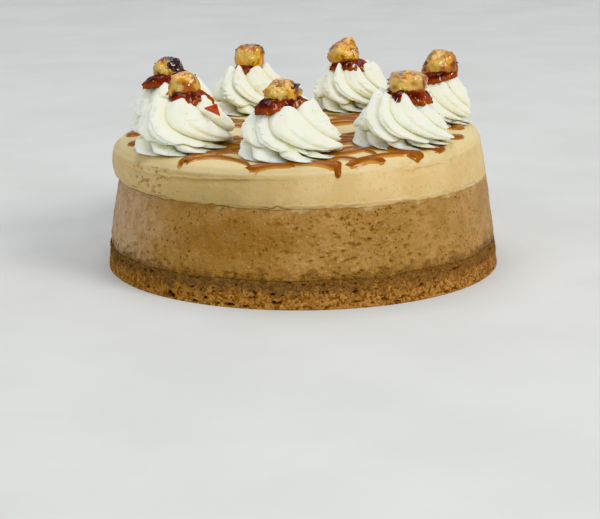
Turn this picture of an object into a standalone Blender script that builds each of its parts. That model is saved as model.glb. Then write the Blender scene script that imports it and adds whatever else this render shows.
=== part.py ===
"""Baked cheesecake, decorated: crumb base, baked filling, a coffee cream layer
with caramel drizzled over it, seven piped cream rosettes, seven caramelised
hazelnuts and one loose shard of caramel.

Metres, +Z up, front towards -Y, origin at the middle of the underside.
"""
import math
import random

import bmesh
import bpy
from mathutils import Vector, noise

MM = 0.001

# The wall of the cake, from the size of a 23 cm springform tin
BASE_RADIUS = 114.7 * MM
WAIST_RADIUS = 107.2 * MM
BASE_SEAM = 15.2 * MM
CREAM_SEAM = 52.8 * MM
RIM_HEIGHT = 76.0 * MM
TOP_DOME = 3.2 * MM
TOP_SLOPE = 0.022
SHOULDER = 6.5 * MM
SHOULDER_DROP = 4.0 * MM
LEFT_BULGE = 3.5 * MM
RIGHT_DRAW = 4.3 * MM
GAP = 0.3 * MM
SIDES = 56

# Caramel poured to and fro across the top: where it turns back at the right and the left
LINE_PITCH = 29.3
LINE_TURNS = 6
RIGHT_FIRST = -66.5
LEFT_FIRST = -57.0
RIGHT_REACH = 89.0
LEFT_REACH = 99.0
REACH_SPREAD = 0.14
# Strokes along the front rim: start, end and bow
FRONT_STROKES = [
    ((-14.0, -99.5), (17.0, -98.5), 1.0),
    ((12.0, -96.0), (29.0, -93.0), 8.0),
    ((11.0, -93.0), (41.0, -82.0), 22.0),
    ((25.0, -95.5), (60.0, -79.0), 3.0),
    ((-60.0, -81.0), (-27.0, -96.0), 12.0),
    ((-64.0, -79.0), (-36.0, -24.0), 4.0),
    ((62.0, -76.0), (-86.0, -57.0), 4.0),
]
LINE_BOW = 7.0
LINE_SWING = 9.0 * MM
SWING_LENGTH = 65.0 * MM
SWING_CREST = 25.0 * MM
# Strokes up to the first length don't swing, and from the second they swing in full
STEADY_LENGTH = 60.0
LOOSE_LENGTH = 110.0
# How much short of the next stroke's start each stroke ends, across and along the cake
STROKE_SHORT = 0.985
STROKE_SHIFT = 0.9
LINE_HALF_WIDTH = 3.8 * MM
LINE_UNEVEN = 0.25
LINE_WOBBLE = 5.0 * MM
LINE_RISE = 1.5 * MM
LINE_ROOT = 0.9 * MM
# Section of a line, as shares of its half width and its rise; a negative rise is its root in the cream
LINE_SECTION = ((-1.0, -0.6), (-0.5, 0.85), (0.25, 1.0), (1.0, -0.6))
LINE_STRIDE = 13.0 * MM
LINE_CHECKS = 200
SHORTEST_RUN = 0.03
RIM_KEEP = 0.6 * MM
TURN_RADIUS = 6.2 * MM
TURN_STRETCH = 0.75
TURN_RISE = 2.0 * MM
# Section of a turn's blob from its edge inwards, as shares of its radius and its rise
TURN_SECTION = ((1.0, -0.45), (0.86, 0.55), (0.5, 0.9))
TURN_SIDES = 10

# Rosettes: middle x, middle y, radius, height, angle of one fold's crest at the top in degrees
ROSETTES = [
    (-76.0, 21.0, 26.5, 26.0, 190.0),
    (-67.5, -44.0, 29.0, 27.0, 213.0),
    (-33.0, 70.0, 24.5, 26.0, 240.0),
    (-7.0, -74.0, 28.8, 26.0, 203.0),
    (31.5, 69.0, 25.5, 25.5, 225.0),
    (55.5, -51.5, 27.2, 26.5, 220.0),
    (76.5, 11.0, 25.0, 26.0, 235.0),
]
FOLD_COUNTS = (8, 7, 8, 7, 9, 9, 9)
FEET = 9
# Where the rings and the columns of a rosette lie: levels, and places between crease and crest
LEVELS = (0.0, 0.06, 0.13, 0.21, 0.3, 0.39, 0.49, 0.6, 0.73, 0.87, 1.0)
RISING_PLACES = (0.0001, 0.4)
FALLING_PLACES = (0.0, 0.6)
# Width and crest of the first two folds, and the range that the others are drawn from
FIRST_WIDTHS = (0.72, 1.35)
FIRST_CRESTS = (0.45, 0.6)
WIDTH_RANGE = (0.75, 1.2)
CREST_RANGE = (0.4, 0.6)
DEPTH_RANGE = (0.75, 1.2)
FULL_RANGE = (-0.06, 0.06)
# The folds: how deep they are cut, how they turn, lean, droop and end in peaks round the nut
FOLD_DEPTH = 0.26
FOLD_ROUND = 0.55
FOLD_RATE = 0.78
FOLD_LOW = 0.12
FOLD_END = 0.033
FOLD_UNEVEN = 0.1
FOLD_LEAN = 0.05
FOLD_DROOP = 0.05
FOLD_PEAK = 0.13
# Below this level the columns of points stop turning, so that the faces stay square
STEADY_LEVEL = 0.2
# The feet below the seam: how they turn and sweep out, how wide and how deeply cut they are
FOOT_RATE = 0.7
FOOT_SWEEP = 0.4
FOOT_FLARE = 0.08
FOOT_LEVEL = 0.14
FOOT_WIDTH = 0.95
FOOT_TAPER = 0.25
FOOT_DEPTH = 0.47
FOOT_REACH = 1.08
# The seam: level, fall round the rosette, where it starts, how deep it is and how far
# the folds draw in above it
TIER_TOP = 0.42
TIER_FALL = 0.3
TIER_RUN = 0.42
TIER_ANGLE = math.radians(185.0)
TIER_DEPTH = 0.1
TIER_UNDER = 0.09
ROSETTE_CROWN = 0.5
CROWN_POWER = 3.4

# Hazelnuts: shift x, shift y, middle above the cream, half width, half height, squareness
NUTS = [
    (-2.4, -1.0, 34.0, 8.9, 7.8, 0.0),
    (2.0, -1.0, 34.2, 8.6, 8.0, 0.2),
    (0.8, 0.0, 33.4, 9.0, 8.2, 0.8),
    (-3.4, -2.0, 32.2, 9.6, 8.6, 0.0),
    (-5.5, 0.0, 32.8, 9.2, 8.0, 0.1),
    (2.7, -1.0, 32.3, 10.3, 7.6, 0.8),
    (5.2, -1.0, 33.8, 9.8, 9.2, 0.0),
]
# Points drawn out of a nut's caramel: nut, direction and lift in degrees, height and width as shares
PEAKS = [
    (0, 195.0, -20.0, 0.15, 0.3), (1, 230.0, -45.0, 0.3, 0.3), (2, 250.0, -65.0, 0.45, 0.22),
    (3, 10.0, 10.0, 0.14, 0.2), (4, 45.0, 66.0, 0.55, 0.4), (4, 185.0, -12.0, 0.2, 0.3),
    (5, 5.0, 25.0, 0.12, 0.2), (6, 190.0, -25.0, 0.35, 0.45), (6, 20.0, 50.0, 0.12, 0.2),
]
# Caramel round the foot of each nut: shift x, shift y, half length, half width,
# middle height, slope, thickness
SKIRTS = [
    (-3.0, -2.5, 14.5, 11.5, 30.0, 0.22, 6.5),
    (4.9, -3.0, 12.6, 11.5, 29.0, -0.05, 7.0),
    (0.0, -2.0, 8.6, 10.0, 28.0, 0.0, 5.0),
    (-4.5, -3.0, 13.8, 12.5, 28.4, 0.1, 7.5),
    (-1.0, -2.5, 12.4, 10.5, 27.6, -0.04, 6.0),
    (3.2, -3.5, 13.2, 12.5, 27.4, 0.03, 7.5),
    (2.5, -3.0, 11.0, 11.0, 28.6, 0.2, 6.5),
]
NUT_SIDES = 12
NUT_ROWS = 7
NUT_LUMPS = 0.12
BLOCK_POWER = 5.0
BLOCK_SHARE = 0.6
SKIRT_SIDES = 13
SKIRT_RAGGED = 0.28
SKIRT_SAG = 0.18
# Section of that caramel: reach and rise, from its underside to its top
SKIRT_SECTION = ((0.75, -0.5), (1.0, -0.2), (0.86, 0.2), (0.56, 0.5))

# Loose shard of caramel, its three corners as x, y, z, and how far its cutter spreads for each gap
SHARD = ((-54.0, -63.5, 101.0), (-47.0, -61.5, 103.0), (-45.0, -65.5, 97.0))
SHARD_THICK = 2.0 * MM
SHARD_SPREAD = 500.0

SHARP = math.radians(35.0)


def clear_scene():
    for thing in list(bpy.data.objects):
        bpy.data.objects.remove(thing, do_unlink=True)


def material(name, colour, roughness):
    made = bpy.data.materials.new(name)
    made.use_nodes = True
    shader = made.node_tree.nodes["Principled BSDF"]
    shader.inputs["Base Color"].default_value = (*colour, 1.0)
    shader.inputs["Roughness"].default_value = roughness
    return made


def wander(x, y, z, size):
    """Smooth noise between about -1 and 1 with features of the given size."""
    return noise.noise(Vector((x / size, y / size, z / size)))


def smooth(low, high, value):
    """0 to 1 as a value goes from low to high, with soft ends."""
    share = min(1.0, max(0.0, (value - low) / (high - low)))
    return share * share * (3.0 - 2.0 * share)


def base_seam(angle):
    """Uneven height at which the baked filling meets the crumb base."""
    lean = 0.7 * MM * math.cos(angle)
    bumps = 1.5 * MM * wander(math.cos(angle), math.sin(angle), 3.0, 0.23)
    return BASE_SEAM + lean + bumps


def cream_seam(angle):
    """Height at which the coffee cream meets the baked filling."""
    bumps = 0.9 * MM * wander(math.cos(angle), math.sin(angle), 7.0, 0.4)
    return CREAM_SEAM - 0.8 * MM * math.sin(angle) + bumps


def wall_radius(angle, height):
    """Radius of the cake's wall: it narrows upwards and the cream sags left."""
    low = min(height, CREAM_SEAM) / CREAM_SEAM
    radius = BASE_RADIUS - (BASE_RADIUS - WAIST_RADIUS) * low ** 1.3
    share = max(0.0, (height - CREAM_SEAM) / (RIM_HEIGHT - CREAM_SEAM))
    left = 0.5 - 0.5 * math.cos(angle)
    bulge = LEFT_BULGE * math.sin(math.pi * min(1.0, share) ** 0.7) + 1.2 * MM * share
    radius += left * bulge - (1.0 - left) * RIGHT_DRAW * share
    return radius + 0.8 * MM * wander(math.cos(angle), math.sin(angle), height / 0.05, 0.9)


def crown_height(x, y):
    """Height of the cake's top without its rounded edge, higher at the right."""
    far = math.hypot(x, y)
    swell = 0.5 * MM * wander(x, y, 0.0, 0.08)
    return RIM_HEIGHT + TOP_DOME * (1.0 - (far / BASE_RADIUS) ** 2) + TOP_SLOPE * x + swell


def top_height(x, y):
    """Height of the cake's top, falling off in a rounded shoulder at the rim."""
    rim = wall_radius(math.atan2(y, x), RIM_HEIGHT)
    over = min(1.0, max(0.0, math.hypot(x, y) - (rim - SHOULDER)) / SHOULDER)
    return crown_height(x, y) - SHOULDER_DROP * (1.0 - math.sqrt(1.0 - over ** 2))


def mesh_object(name, points, faces, skin):
    data = bpy.data.meshes.new(name)
    data.from_pydata(points, [], faces)
    data.update()
    made = bpy.data.objects.new(name, data)
    bpy.context.scene.collection.objects.link(made)
    work = bmesh.new()
    work.from_mesh(data)
    bmesh.ops.recalc_face_normals(work, faces=work.faces)
    work.to_mesh(data)
    work.free()
    data.materials.append(skin)
    return made


def stacked(name, rings, low, high, skin):
    """A closed solid from rings of equally many points, closed by two centres."""
    count = len(rings[0])
    points = [low] + [point for ring in rings for point in ring] + [high]
    faces = []
    for side in range(count):
        after = (side + 1) % count
        faces.append((0, 1 + after, 1 + side))
        for row in range(len(rings) - 1):
            here = 1 + row * count
            above = here + count
            faces.append((here + side, here + after, above + after, above + side))
        last = 1 + (len(rings) - 1) * count
        faces.append((last + side, last + after, len(points) - 1))
    return mesh_object(name, points, faces, skin)


def polar(radius, angle, height):
    return (radius * math.cos(angle), radius * math.sin(angle), height)


def angles(count):
    return [2.0 * math.pi * step / count for step in range(count)]


def crag(angle, height, depth):
    """Crumbly relief of the wall, deeper where crumbs have broken away."""
    bite = wander(4.0 * math.cos(angle), 4.0 * math.sin(angle), height / 0.006, 0.42)
    return depth * (bite - 0.5 * max(0.0, bite))


def crumb_base(skin):
    rings = []
    for share in (0.5, 0.985):
        rings.append([polar(share * wall_radius(angle, 0.0), angle, 0.0) for angle in angles(SIDES)])
    for share in (0.08, 0.4, 0.72):
        ring = []
        for angle in angles(SIDES):
            height = share * base_seam(angle)
            ring.append(polar(wall_radius(angle, height) + crag(angle, height, 1.3 * MM), angle, height))
        rings.append(ring)
    for share in (1.0, 0.5):
        ring = []
        for angle in angles(SIDES):
            seam = BASE_SEAM + (base_seam(angle) - BASE_SEAM) * share
            radius = share * wall_radius(angle, seam)
            ring.append(polar(radius, angle, seam))
        rings.append(ring)
    return stacked("crumb_base", rings, (0.0, 0.0, 0.0), (0.0, 0.0, BASE_SEAM), skin)


def baked_filling(skin):
    rings = []
    for share in (0.5, 1.0):
        ring = []
        for angle in angles(SIDES):
            seam = BASE_SEAM + (base_seam(angle) - BASE_SEAM) * share
            ring.append(polar(share * wall_radius(angle, seam), angle, seam + GAP))
        rings.append(ring)
    for share in (0.22, 0.45, 0.68, 0.88):
        ring = []
        for angle in angles(SIDES):
            height = base_seam(angle) * (1.0 - share) + cream_seam(angle) * share
            ring.append(polar(wall_radius(angle, height) + crag(angle, height, 0.7 * MM), angle, height))
        rings.append(ring)
    for share in (1.0, 0.5):
        ring = []
        for angle in angles(SIDES):
            seam = CREAM_SEAM + (cream_seam(angle) - CREAM_SEAM) * share
            ring.append(polar(share * wall_radius(angle, CREAM_SEAM), angle, seam))
        rings.append(ring)
    floor = (0.0, 0.0, BASE_SEAM + GAP)
    return stacked("baked_filling", rings, floor, (0.0, 0.0, CREAM_SEAM), skin)


def cream_layer(skin):
    rings = []
    for share in (0.5, 1.0):
        ring = []
        for angle in angles(SIDES):
            seam = CREAM_SEAM + (cream_seam(angle) - CREAM_SEAM) * share
            ring.append(polar(share * wall_radius(angle, CREAM_SEAM), angle, seam + GAP))
        rings.append(ring)
    for share in (0.3, 0.62, 1.0):
        ring = []
        for angle in angles(SIDES):
            rim = wall_radius(angle, RIM_HEIGHT)
            edge = top_height(rim * math.cos(angle), rim * math.sin(angle))
            height = cream_seam(angle) * (1.0 - share) + edge * share
            ring.append(polar(wall_radius(angle, height), angle, height))
        rings.append(ring)
    for inset in (0.12, 0.5, 1.0):
        ring = []
        for angle in angles(SIDES):
            radius = wall_radius(angle, RIM_HEIGHT) - inset * SHOULDER
            x, y = radius * math.cos(angle), radius * math.sin(angle)
            ring.append((x, y, top_height(x, y)))
        rings.append(ring)
    for share in (0.72, 0.45, 0.2):
        ring = []
        for angle in angles(SIDES):
            x, y = share * WAIST_RADIUS * math.cos(angle), share * WAIST_RADIUS * math.sin(angle)
            ring.append((x, y, top_height(x, y)))
        rings.append(ring)
    floor = (0.0, 0.0, CREAM_SEAM + GAP)
    return stacked("coffee_cream", rings, floor, (0.0, 0.0, top_height(0.0, 0.0)), skin)


def turns():
    """Where the poured caramel turns back, right and left by turns, from front to back."""
    made = []
    for step in range(LINE_TURNS):
        for side, first, reach in ((1.0, RIGHT_FIRST, RIGHT_REACH), (-1.0, LEFT_FIRST, LEFT_REACH)):
            y = first + step * LINE_PITCH
            reach += REACH_SPREAD * abs(y) * max(0.0, side)
            if abs(y) < reach - 2.0:
                made.append((side * math.sqrt(reach ** 2 - y ** 2), y))
    return made


def strokes():
    """Start, end and bow of every stroke, each ending just short of where the next starts."""
    ends = turns()
    made = list(FRONT_STROKES)
    for place in range(len(ends) - 1):
        start, end = ends[place], ends[place + 1]
        bow = -LINE_BOW if place % 2 else LINE_BOW
        made.append((start, (STROKE_SHORT * end[0], end[1] - STROKE_SHIFT), bow))
    return made


def kept_on_top(x, y, room):
    """The point itself, or moved in so that this much room is left to the rim."""
    rim = wall_radius(math.atan2(y, x), RIM_HEIGHT) - room - RIM_KEEP
    share = min(1.0, rim / math.hypot(x, y))
    return x * share, y * share


def line_point(stroke, share):
    """A point on one stroke, with its bow and the swing of the hand that poured it."""
    start, end, bow = stroke
    x = (start[0] + (end[0] - start[0]) * share) * MM
    y = (start[1] + (end[1] - start[1]) * share) * MM
    swing = LINE_SWING * math.cos(2.0 * math.pi * (x - SWING_CREST) / SWING_LENGTH + 0.1 * start[1])
    loose = smooth(0.0, 0.12, share) * smooth(0.0, 0.12, 1.0 - share)
    loose *= smooth(STEADY_LENGTH, LOOSE_LENGTH, math.hypot(end[0] - start[0], end[1] - start[1]))
    y += (swing + LINE_WOBBLE * wander(x, start[1] * MM, 0.2, 0.05)) * loose
    return kept_on_top(x, y + bow * MM * math.sin(math.pi * share), LINE_HALF_WIDTH)


def is_clear(x, y, width):
    """Whether caramel of this half width can lie here without touching a rosette."""
    for place in ROSETTES:
        if math.hypot(x - place[0] * MM, y - place[1] * MM) < place[2] * MM * FOOT_REACH + width + 2.0 * GAP:
            return False
    return True


def clear_runs(stroke):
    """The parts of one stroke, as shares of its length, that lie in the open."""
    runs = []
    opened = None
    for step in range(LINE_CHECKS + 1):
        share = step / LINE_CHECKS
        x, y = line_point(stroke, share)
        if is_clear(x, y, LINE_HALF_WIDTH):
            if opened is None:
                opened = share
            closed = share
        elif opened is not None:
            runs.append((opened, closed))
            opened = None
    if opened is not None:
        runs.append((opened, 1.0))
    return [run for run in runs if run[1] - run[0] > SHORTEST_RUN]


def caramel_line(stroke, run, skin):
    begin, finish = line_point(stroke, run[0]), line_point(stroke, run[1])
    length = math.hypot(finish[0] - begin[0], finish[1] - begin[1])
    steps = max(2, round(length / LINE_STRIDE))
    path = [line_point(stroke, run[0] + (run[1] - run[0]) * step / steps) for step in range(steps + 1)]
    rings = []
    for step, (x, y) in enumerate(path):
        before = path[max(0, step - 1)]
        after = path[min(steps, step + 1)]
        ahead = Vector((after[0] - before[0], after[1] - before[1])).normalized()
        width = LINE_HALF_WIDTH * (1.0 + LINE_UNEVEN * wander(x, y, 0.7, 0.02))
        ring = []
        for side, rise in LINE_SECTION:
            px = x - ahead.y * side * width
            py = y + ahead.x * side * width
            ring.append((px, py, top_height(px, py) + rise * LINE_RISE))
        rings.append(ring)
    lows = [sum((Vector(point) for point in ring), Vector()) / len(ring) for ring in (rings[0], rings[-1])]
    return stacked("line", rings, tuple(lows[0]), tuple(lows[1]), skin)


def caramel_turn(x, y, skin):
    """Fat blob where the poured caramel turns back, wider along the rim than towards it."""
    x, y = kept_on_top(x, y, TURN_STRETCH * TURN_RADIUS)
    out = math.atan2(y, x)
    rings = []
    for share, rise in TURN_SECTION:
        ring = []
        for angle in angles(TURN_SIDES):
            along = TURN_STRETCH * share * TURN_RADIUS * math.cos(angle)
            across = share * TURN_RADIUS * math.sin(angle)
            px = x + along * math.cos(out) - across * math.sin(out)
            py = y + along * math.sin(out) + across * math.cos(out)
            ring.append((px, py, top_height(px, py) + rise * TURN_RISE))
        rings.append(ring)
    height = top_height(x, y)
    return stacked("turn", rings, (x, y, height - LINE_ROOT), (x, y, height + TURN_RISE), skin)


def drop_scraps(data):
    """Keeps the largest connected body of a mesh."""
    work = bmesh.new()
    work.from_mesh(data)
    left = set(work.verts)
    bodies = []
    while left:
        front = [left.pop()]
        body = []
        while front:
            point = front.pop()
            body.append(point)
            for edge in point.link_edges:
                other = edge.other_vert(point)
                if other in left:
                    left.remove(other)
                    front.append(other)
        bodies.append(body)
    bodies.sort(key=len)
    for body in bodies[:-1]:
        bmesh.ops.delete(work, geom=body, context="VERTS")
    work.to_mesh(data)
    work.free()


def boolean(target, operand, operation):
    """Joins or cuts the target with one object or a collection, then drops it."""
    cut = target.modifiers.new(operation, "BOOLEAN")
    cut.operation = operation
    cut.solver = "EXACT"
    if isinstance(operand, bpy.types.Collection):
        cut.operand_type = "COLLECTION"
        cut.collection = operand
        used = list(operand.objects)
    else:
        cut.object = operand
        used = [operand]
    bpy.context.view_layer.update()
    solved = bpy.data.meshes.new_from_object(target.evaluated_get(bpy.context.evaluated_depsgraph_get()))
    target.modifiers.clear()
    target.data = solved
    drop_scraps(solved)
    for thing in used:
        bpy.data.objects.remove(thing, do_unlink=True)
    if isinstance(operand, bpy.types.Collection):
        bpy.data.collections.remove(operand)


def gather(name, things):
    """Moves objects to a collection of their own, to be joined in one go."""
    group = bpy.data.collections.new(name)
    bpy.context.scene.collection.children.link(group)
    for thing in things:
        bpy.context.scene.collection.objects.unlink(thing)
        group.objects.link(thing)
    return group


def drizzle(layer, skin):
    """Lays the caramel on the cream layer as part of the same solid."""
    laid = []
    for stroke in strokes():
        laid += [caramel_line(stroke, run, skin) for run in clear_runs(stroke)]
    for x, y in turns():
        if is_clear(x * MM, y * MM, TURN_STRETCH * TURN_RADIUS):
            laid.append(caramel_turn(x * MM, y * MM, skin))
    boolean(layer, gather("strokes", laid), "UNION")


def fold_shape(place, crest):
    """Across one fold: a sharp crease, a full round rope, and the next crease."""
    even = min(1.0, max(0.0, place)) ** (math.log(0.5) / math.log(crest))
    return max(0.0, math.sin(math.pi * even)) ** FOLD_ROUND


def fold_table(rng, count):
    """Uneven folds round a rosette: start, width, depth, fullness and place of the crest.

    The first is a narrow roll and the second a broad face, as the piping hand left them.
    """
    widths = list(FIRST_WIDTHS) + [rng.uniform(*WIDTH_RANGE) for fold in range(count - 2)]
    crests = list(FIRST_CRESTS) + [rng.uniform(*CREST_RANGE) for fold in range(count - 2)]
    whole = 2.0 * math.pi / sum(widths)
    starts = [sum(widths[:fold]) * whole for fold in range(count)]
    made = []
    for fold in range(count):
        depth = rng.uniform(*DEPTH_RANGE)
        full = rng.uniform(*FULL_RANGE)
        made.append((starts[fold], widths[fold] * whole, depth, full, crests[fold]))
    return made


def fold_at(table, angle):
    """Depth, fullness and nearness to the crest of the fold that an angle falls in."""
    angle %= 2.0 * math.pi
    start, width, deep, full, crest = [fold for fold in table if fold[0] <= angle][-1]
    place = (angle - start) / width
    return deep, full, place, fold_shape(place, crest)


def fold_turn(level):
    """How far the folds have turned at a level: little near the top, much near the foot."""
    return -FOLD_RATE * math.log((max(level, FOLD_LOW) - FOLD_END) / (FOLD_LOW - FOLD_END))


def flare(level):
    """How much the feet sweep out at a level, 1 at the bottom and 0 a little above."""
    return max(0.0, 1.0 - level / FOOT_LEVEL) ** 2


def tier_level(angle):
    """Level of the seam between the feet and the folds, falling round the rosette."""
    whirl = (angle - TIER_ANGLE) / (2.0 * math.pi) % 1.0
    wave = 0.035 * math.sin(7.0 * angle) + 0.02 * math.sin(11.0 * angle)
    return TIER_TOP + wave - TIER_FALL * min(1.0, whirl / TIER_RUN) * (1.0 - smooth(0.85, 1.0, whirl))


def upper_share(upper, turned, angle, level):
    """Radius above the seam as a share of the foot's, and nearness to a crest."""
    deep, full, place, edge = fold_at(upper, turned - fold_turn(level))
    share = 1.0 - (1.0 - ROSETTE_CROWN) * level ** CROWN_POWER
    share *= 1.0 + full + FOLD_UNEVEN * wander(math.cos(angle), math.sin(angle), level, 0.6)
    return share * (1.0 - FOLD_DEPTH * deep * (1.0 - 0.2 * level) * (1.0 - edge)), edge


def foot_share(lower, turned, level):
    """The same for the feet below the seam."""
    foot_turn = -FOOT_RATE * level + FOOT_SWEEP * flare(level)
    deep, full, place, edge = fold_at(lower, turned - foot_turn)
    reach = FOOT_WIDTH - FOOT_TAPER * level + full + FOOT_FLARE * place * flare(level)
    reach *= 0.9 + 0.1 * smooth(0.0, 0.06, level)
    return reach * (1.0 - FOOT_DEPTH * deep * (1.0 - edge)), edge


def rosette_point(place, upper, lower, column, first, level):
    """A point of the cream: folds above the seam, feet below it, a groove between them."""
    x, y, radius, tall = (value * MM for value in place[:4])
    turned = column + fold_turn(max(level, STEADY_LEVEL))
    angle = turned + first
    tier = tier_level(angle)
    over = smooth(tier - 0.03, tier + 0.02, level)
    high_share, high_edge = upper_share(upper, turned, angle, level)
    low_share, low_edge = foot_share(lower, turned, level)
    edge = low_edge + (high_edge - low_edge) * over
    high_share -= TIER_UNDER * (1.0 - smooth(tier - 0.02, tier + 0.12, level))
    share = low_share + (high_share - low_share) * over
    share -= TIER_DEPTH * math.exp(-((level - tier + 0.015) / 0.03) ** 2) * smooth(0.0, 0.1, level)
    px = x + radius * share * math.cos(angle + FOLD_LEAN * edge)
    py = y + radius * share * math.sin(angle + FOLD_LEAN * edge)
    droop = FOLD_DROOP * edge * math.sin(math.pi * level) * smooth(0.0, 0.1, level)
    peak = FOLD_PEAK * edge ** 3 * smooth(0.8, 1.0, level)
    return (px, py, crown_height(px, py) + GAP + tall * max(0.0, level - droop + peak))


def rosette(name, number, skin):
    """Piped cream: uneven folds that turn as they rise, over a lower ring of feet."""
    place = ROSETTES[number]
    rng = random.Random(100 + number)
    upper = fold_table(rng, FOLD_COUNTS[number])
    lower = fold_table(rng, FEET)
    first = math.radians(place[4]) - upper[0][1] * upper[0][4] - fold_turn(1.0)
    columns = []
    for start, width, deep, full, crest in upper:
        columns += [start + width * crest * part for part in RISING_PLACES]
        columns += [start + width * (crest + (1.0 - crest) * part) for part in FALLING_PLACES]
    rings = []
    for level in LEVELS:
        rings.append([rosette_point(place, upper, lower, column, first, level) for column in columns])
    x, y, tall = (place[index] * MM for index in (0, 1, 3))
    floor = crown_height(x, y) + GAP
    return stacked(name, rings, (x, y, floor), (x, y, floor + tall), skin)


def direction(turn, lift):
    """Unit vector from an angle round the upright and a lift, both in degrees."""
    level = math.cos(math.radians(lift))
    return Vector((level * math.cos(math.radians(turn)), level * math.sin(math.radians(turn)),
                   math.sin(math.radians(lift))))


def nut_ball(name, number, grow, skin):
    """Nut in its caramel, a ball or a block, lumpy, with points drawn out.

    A positive grow makes the slightly larger cutter for its seat.
    """
    x, y = (value * MM for value in ROSETTES[number][:2])
    dx, dy, middle, wide, tall = (value * MM for value in NUTS[number][:5])
    square = NUTS[number][5]
    centre = Vector((x + dx, y + dy, crown_height(x, y) + GAP + middle))
    peaks = []
    for nut, turn, lift, height, width in PEAKS:
        if nut == number:
            peaks.append((direction(turn, lift), height, width))
    shift = Vector((number * 5.3, 0.0, 0.0))
    bigger = 1.0 + grow / min(wide, tall)

    def point(way):
        block = sum(abs(part) ** BLOCK_POWER for part in way) ** (-1.0 / BLOCK_POWER)
        lump = 1.0 + BLOCK_SHARE * square * (block - 1.0) + NUT_LUMPS * noise.noise(way * 1.4 + shift)
        for tip, height, width in peaks:
            lump += height * math.exp(-((way - tip).length / width) ** 2)
        return tuple(centre + Vector((way.x * wide, way.y * wide, way.z * tall)) * lump * bigger)

    rings = []
    for row in range(1, NUT_ROWS):
        tip = math.pi * row / NUT_ROWS
        ways = [Vector((math.sin(tip) * math.cos(angle), math.sin(tip) * math.sin(angle), -math.cos(tip)))
                for angle in angles(NUT_SIDES)]
        rings.append([point(way) for way in ways])
    return stacked(name, rings, point(Vector((0.0, 0.0, -1.0))), point(Vector((0.0, 0.0, 1.0))), skin)


def nut_skirt(name, number, grow, skin):
    """Caramel that ran down round the nut and set with a ragged edge."""
    x, y = (value * MM for value in ROSETTES[number][:2])
    sx, sy, length, width, low = (value * MM for value in SKIRTS[number][:5])
    slope = SKIRTS[number][5]
    thick = SKIRTS[number][6] * MM
    cx, cy = x + sx, y + sy
    cz = crown_height(x, y) + GAP + low
    rings = []
    for share, rise in SKIRT_SECTION:
        ring = []
        for angle in angles(SKIRT_SIDES):
            way = Vector((math.cos(angle), math.sin(angle), number * 3.1))
            ragged = 1.0 + SKIRT_RAGGED * noise.noise(way * 1.7)
            sag = -thick * (0.1 + SKIRT_SAG * smooth(-0.1, 0.5, noise.noise(way * 2.6))) * share ** 2
            px = cx + share * ragged * (length + grow) * math.cos(angle)
            py = cy + share * ragged * (width + grow) * math.sin(angle)
            ring.append((px, py, cz + rise * (thick + 2.0 * grow) + sag + slope * (px - cx)))
        rings.append(ring)
    half = 0.5 * thick + grow
    return stacked(name, rings, (cx, cy, cz - half), (cx, cy, cz + 1.16 * half), skin)


def hazelnut(name, number, skin):
    """Nut in set caramel: the ball and the caramel at its foot in one body."""
    ball = nut_ball(name, number, 0.0, skin)
    boolean(ball, nut_skirt(name + "_skirt", number, 0.0, skin), "UNION")


def seat(swirl, number, skin):
    """Cuts room for a nut and its caramel, one gap wider than they are."""
    boolean(swirl, nut_ball("seat", number, GAP, skin), "DIFFERENCE")
    boolean(swirl, nut_skirt("seat", number, GAP, skin), "DIFFERENCE")


def shard(name, grow, skin):
    corners = [Vector(corner) * MM for corner in SHARD]
    middle = sum(corners, Vector()) / 3.0
    facing = (corners[1] - corners[0]).cross(corners[2] - corners[0]).normalized()
    spread = [middle + (corner - middle) * (1.0 + SHARD_SPREAD * grow) for corner in corners]
    half = 0.5 * SHARD_THICK + grow
    rings = [[tuple(corner + facing * side) for corner in spread] for side in (-half, half)]
    return stacked(name, rings, tuple(middle - facing * half), tuple(middle + facing * half), skin)


def build():
    clear_scene()
    crumb = material("biscuit crumb", (0.21, 0.1, 0.035), 0.85)
    baked = material("baked filling", (0.42, 0.25, 0.11), 0.6)
    cream = material("coffee cream", (0.62, 0.42, 0.24), 0.5)
    caramel = material("caramel drizzle", (0.32, 0.12, 0.03), 0.2)
    whipped = material("whipped cream", (0.86, 0.83, 0.7), 0.45)
    candied = material("candied hazelnut", (0.5, 0.19, 0.04), 0.15)
    sugar = material("caramel shard", (0.45, 0.1, 0.02), 0.1)
    crumb_base(crumb)
    baked_filling(baked)
    layer = cream_layer(cream)
    drizzle(layer, caramel)
    for number in range(len(ROSETTES)):
        swirl = rosette("rosette_%d" % (number + 1), number, whipped)
        seat(swirl, number, whipped)
        if number == 1:
            boolean(swirl, shard("slot", GAP, whipped), "DIFFERENCE")
        hazelnut("hazelnut_%d" % (number + 1), number, candied)
    shard("caramel_shard", 0.0, sugar)
    for thing in bpy.context.scene.objects:
        thing.data.shade_smooth()
        thing.data.set_sharp_from_angle(angle=SHARP)


build()
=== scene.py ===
"""Looks of the decorated cheesecake: crumb base, baked filling, coffee cream,
poured caramel, piped cream rosettes and hazelnuts set in caramel.

Everything is in metres, +Z up, with the front of the cake towards -Y.
"""

import math
import random

import bmesh
import bpy
from mathutils import Matrix, Vector, noise


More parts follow.
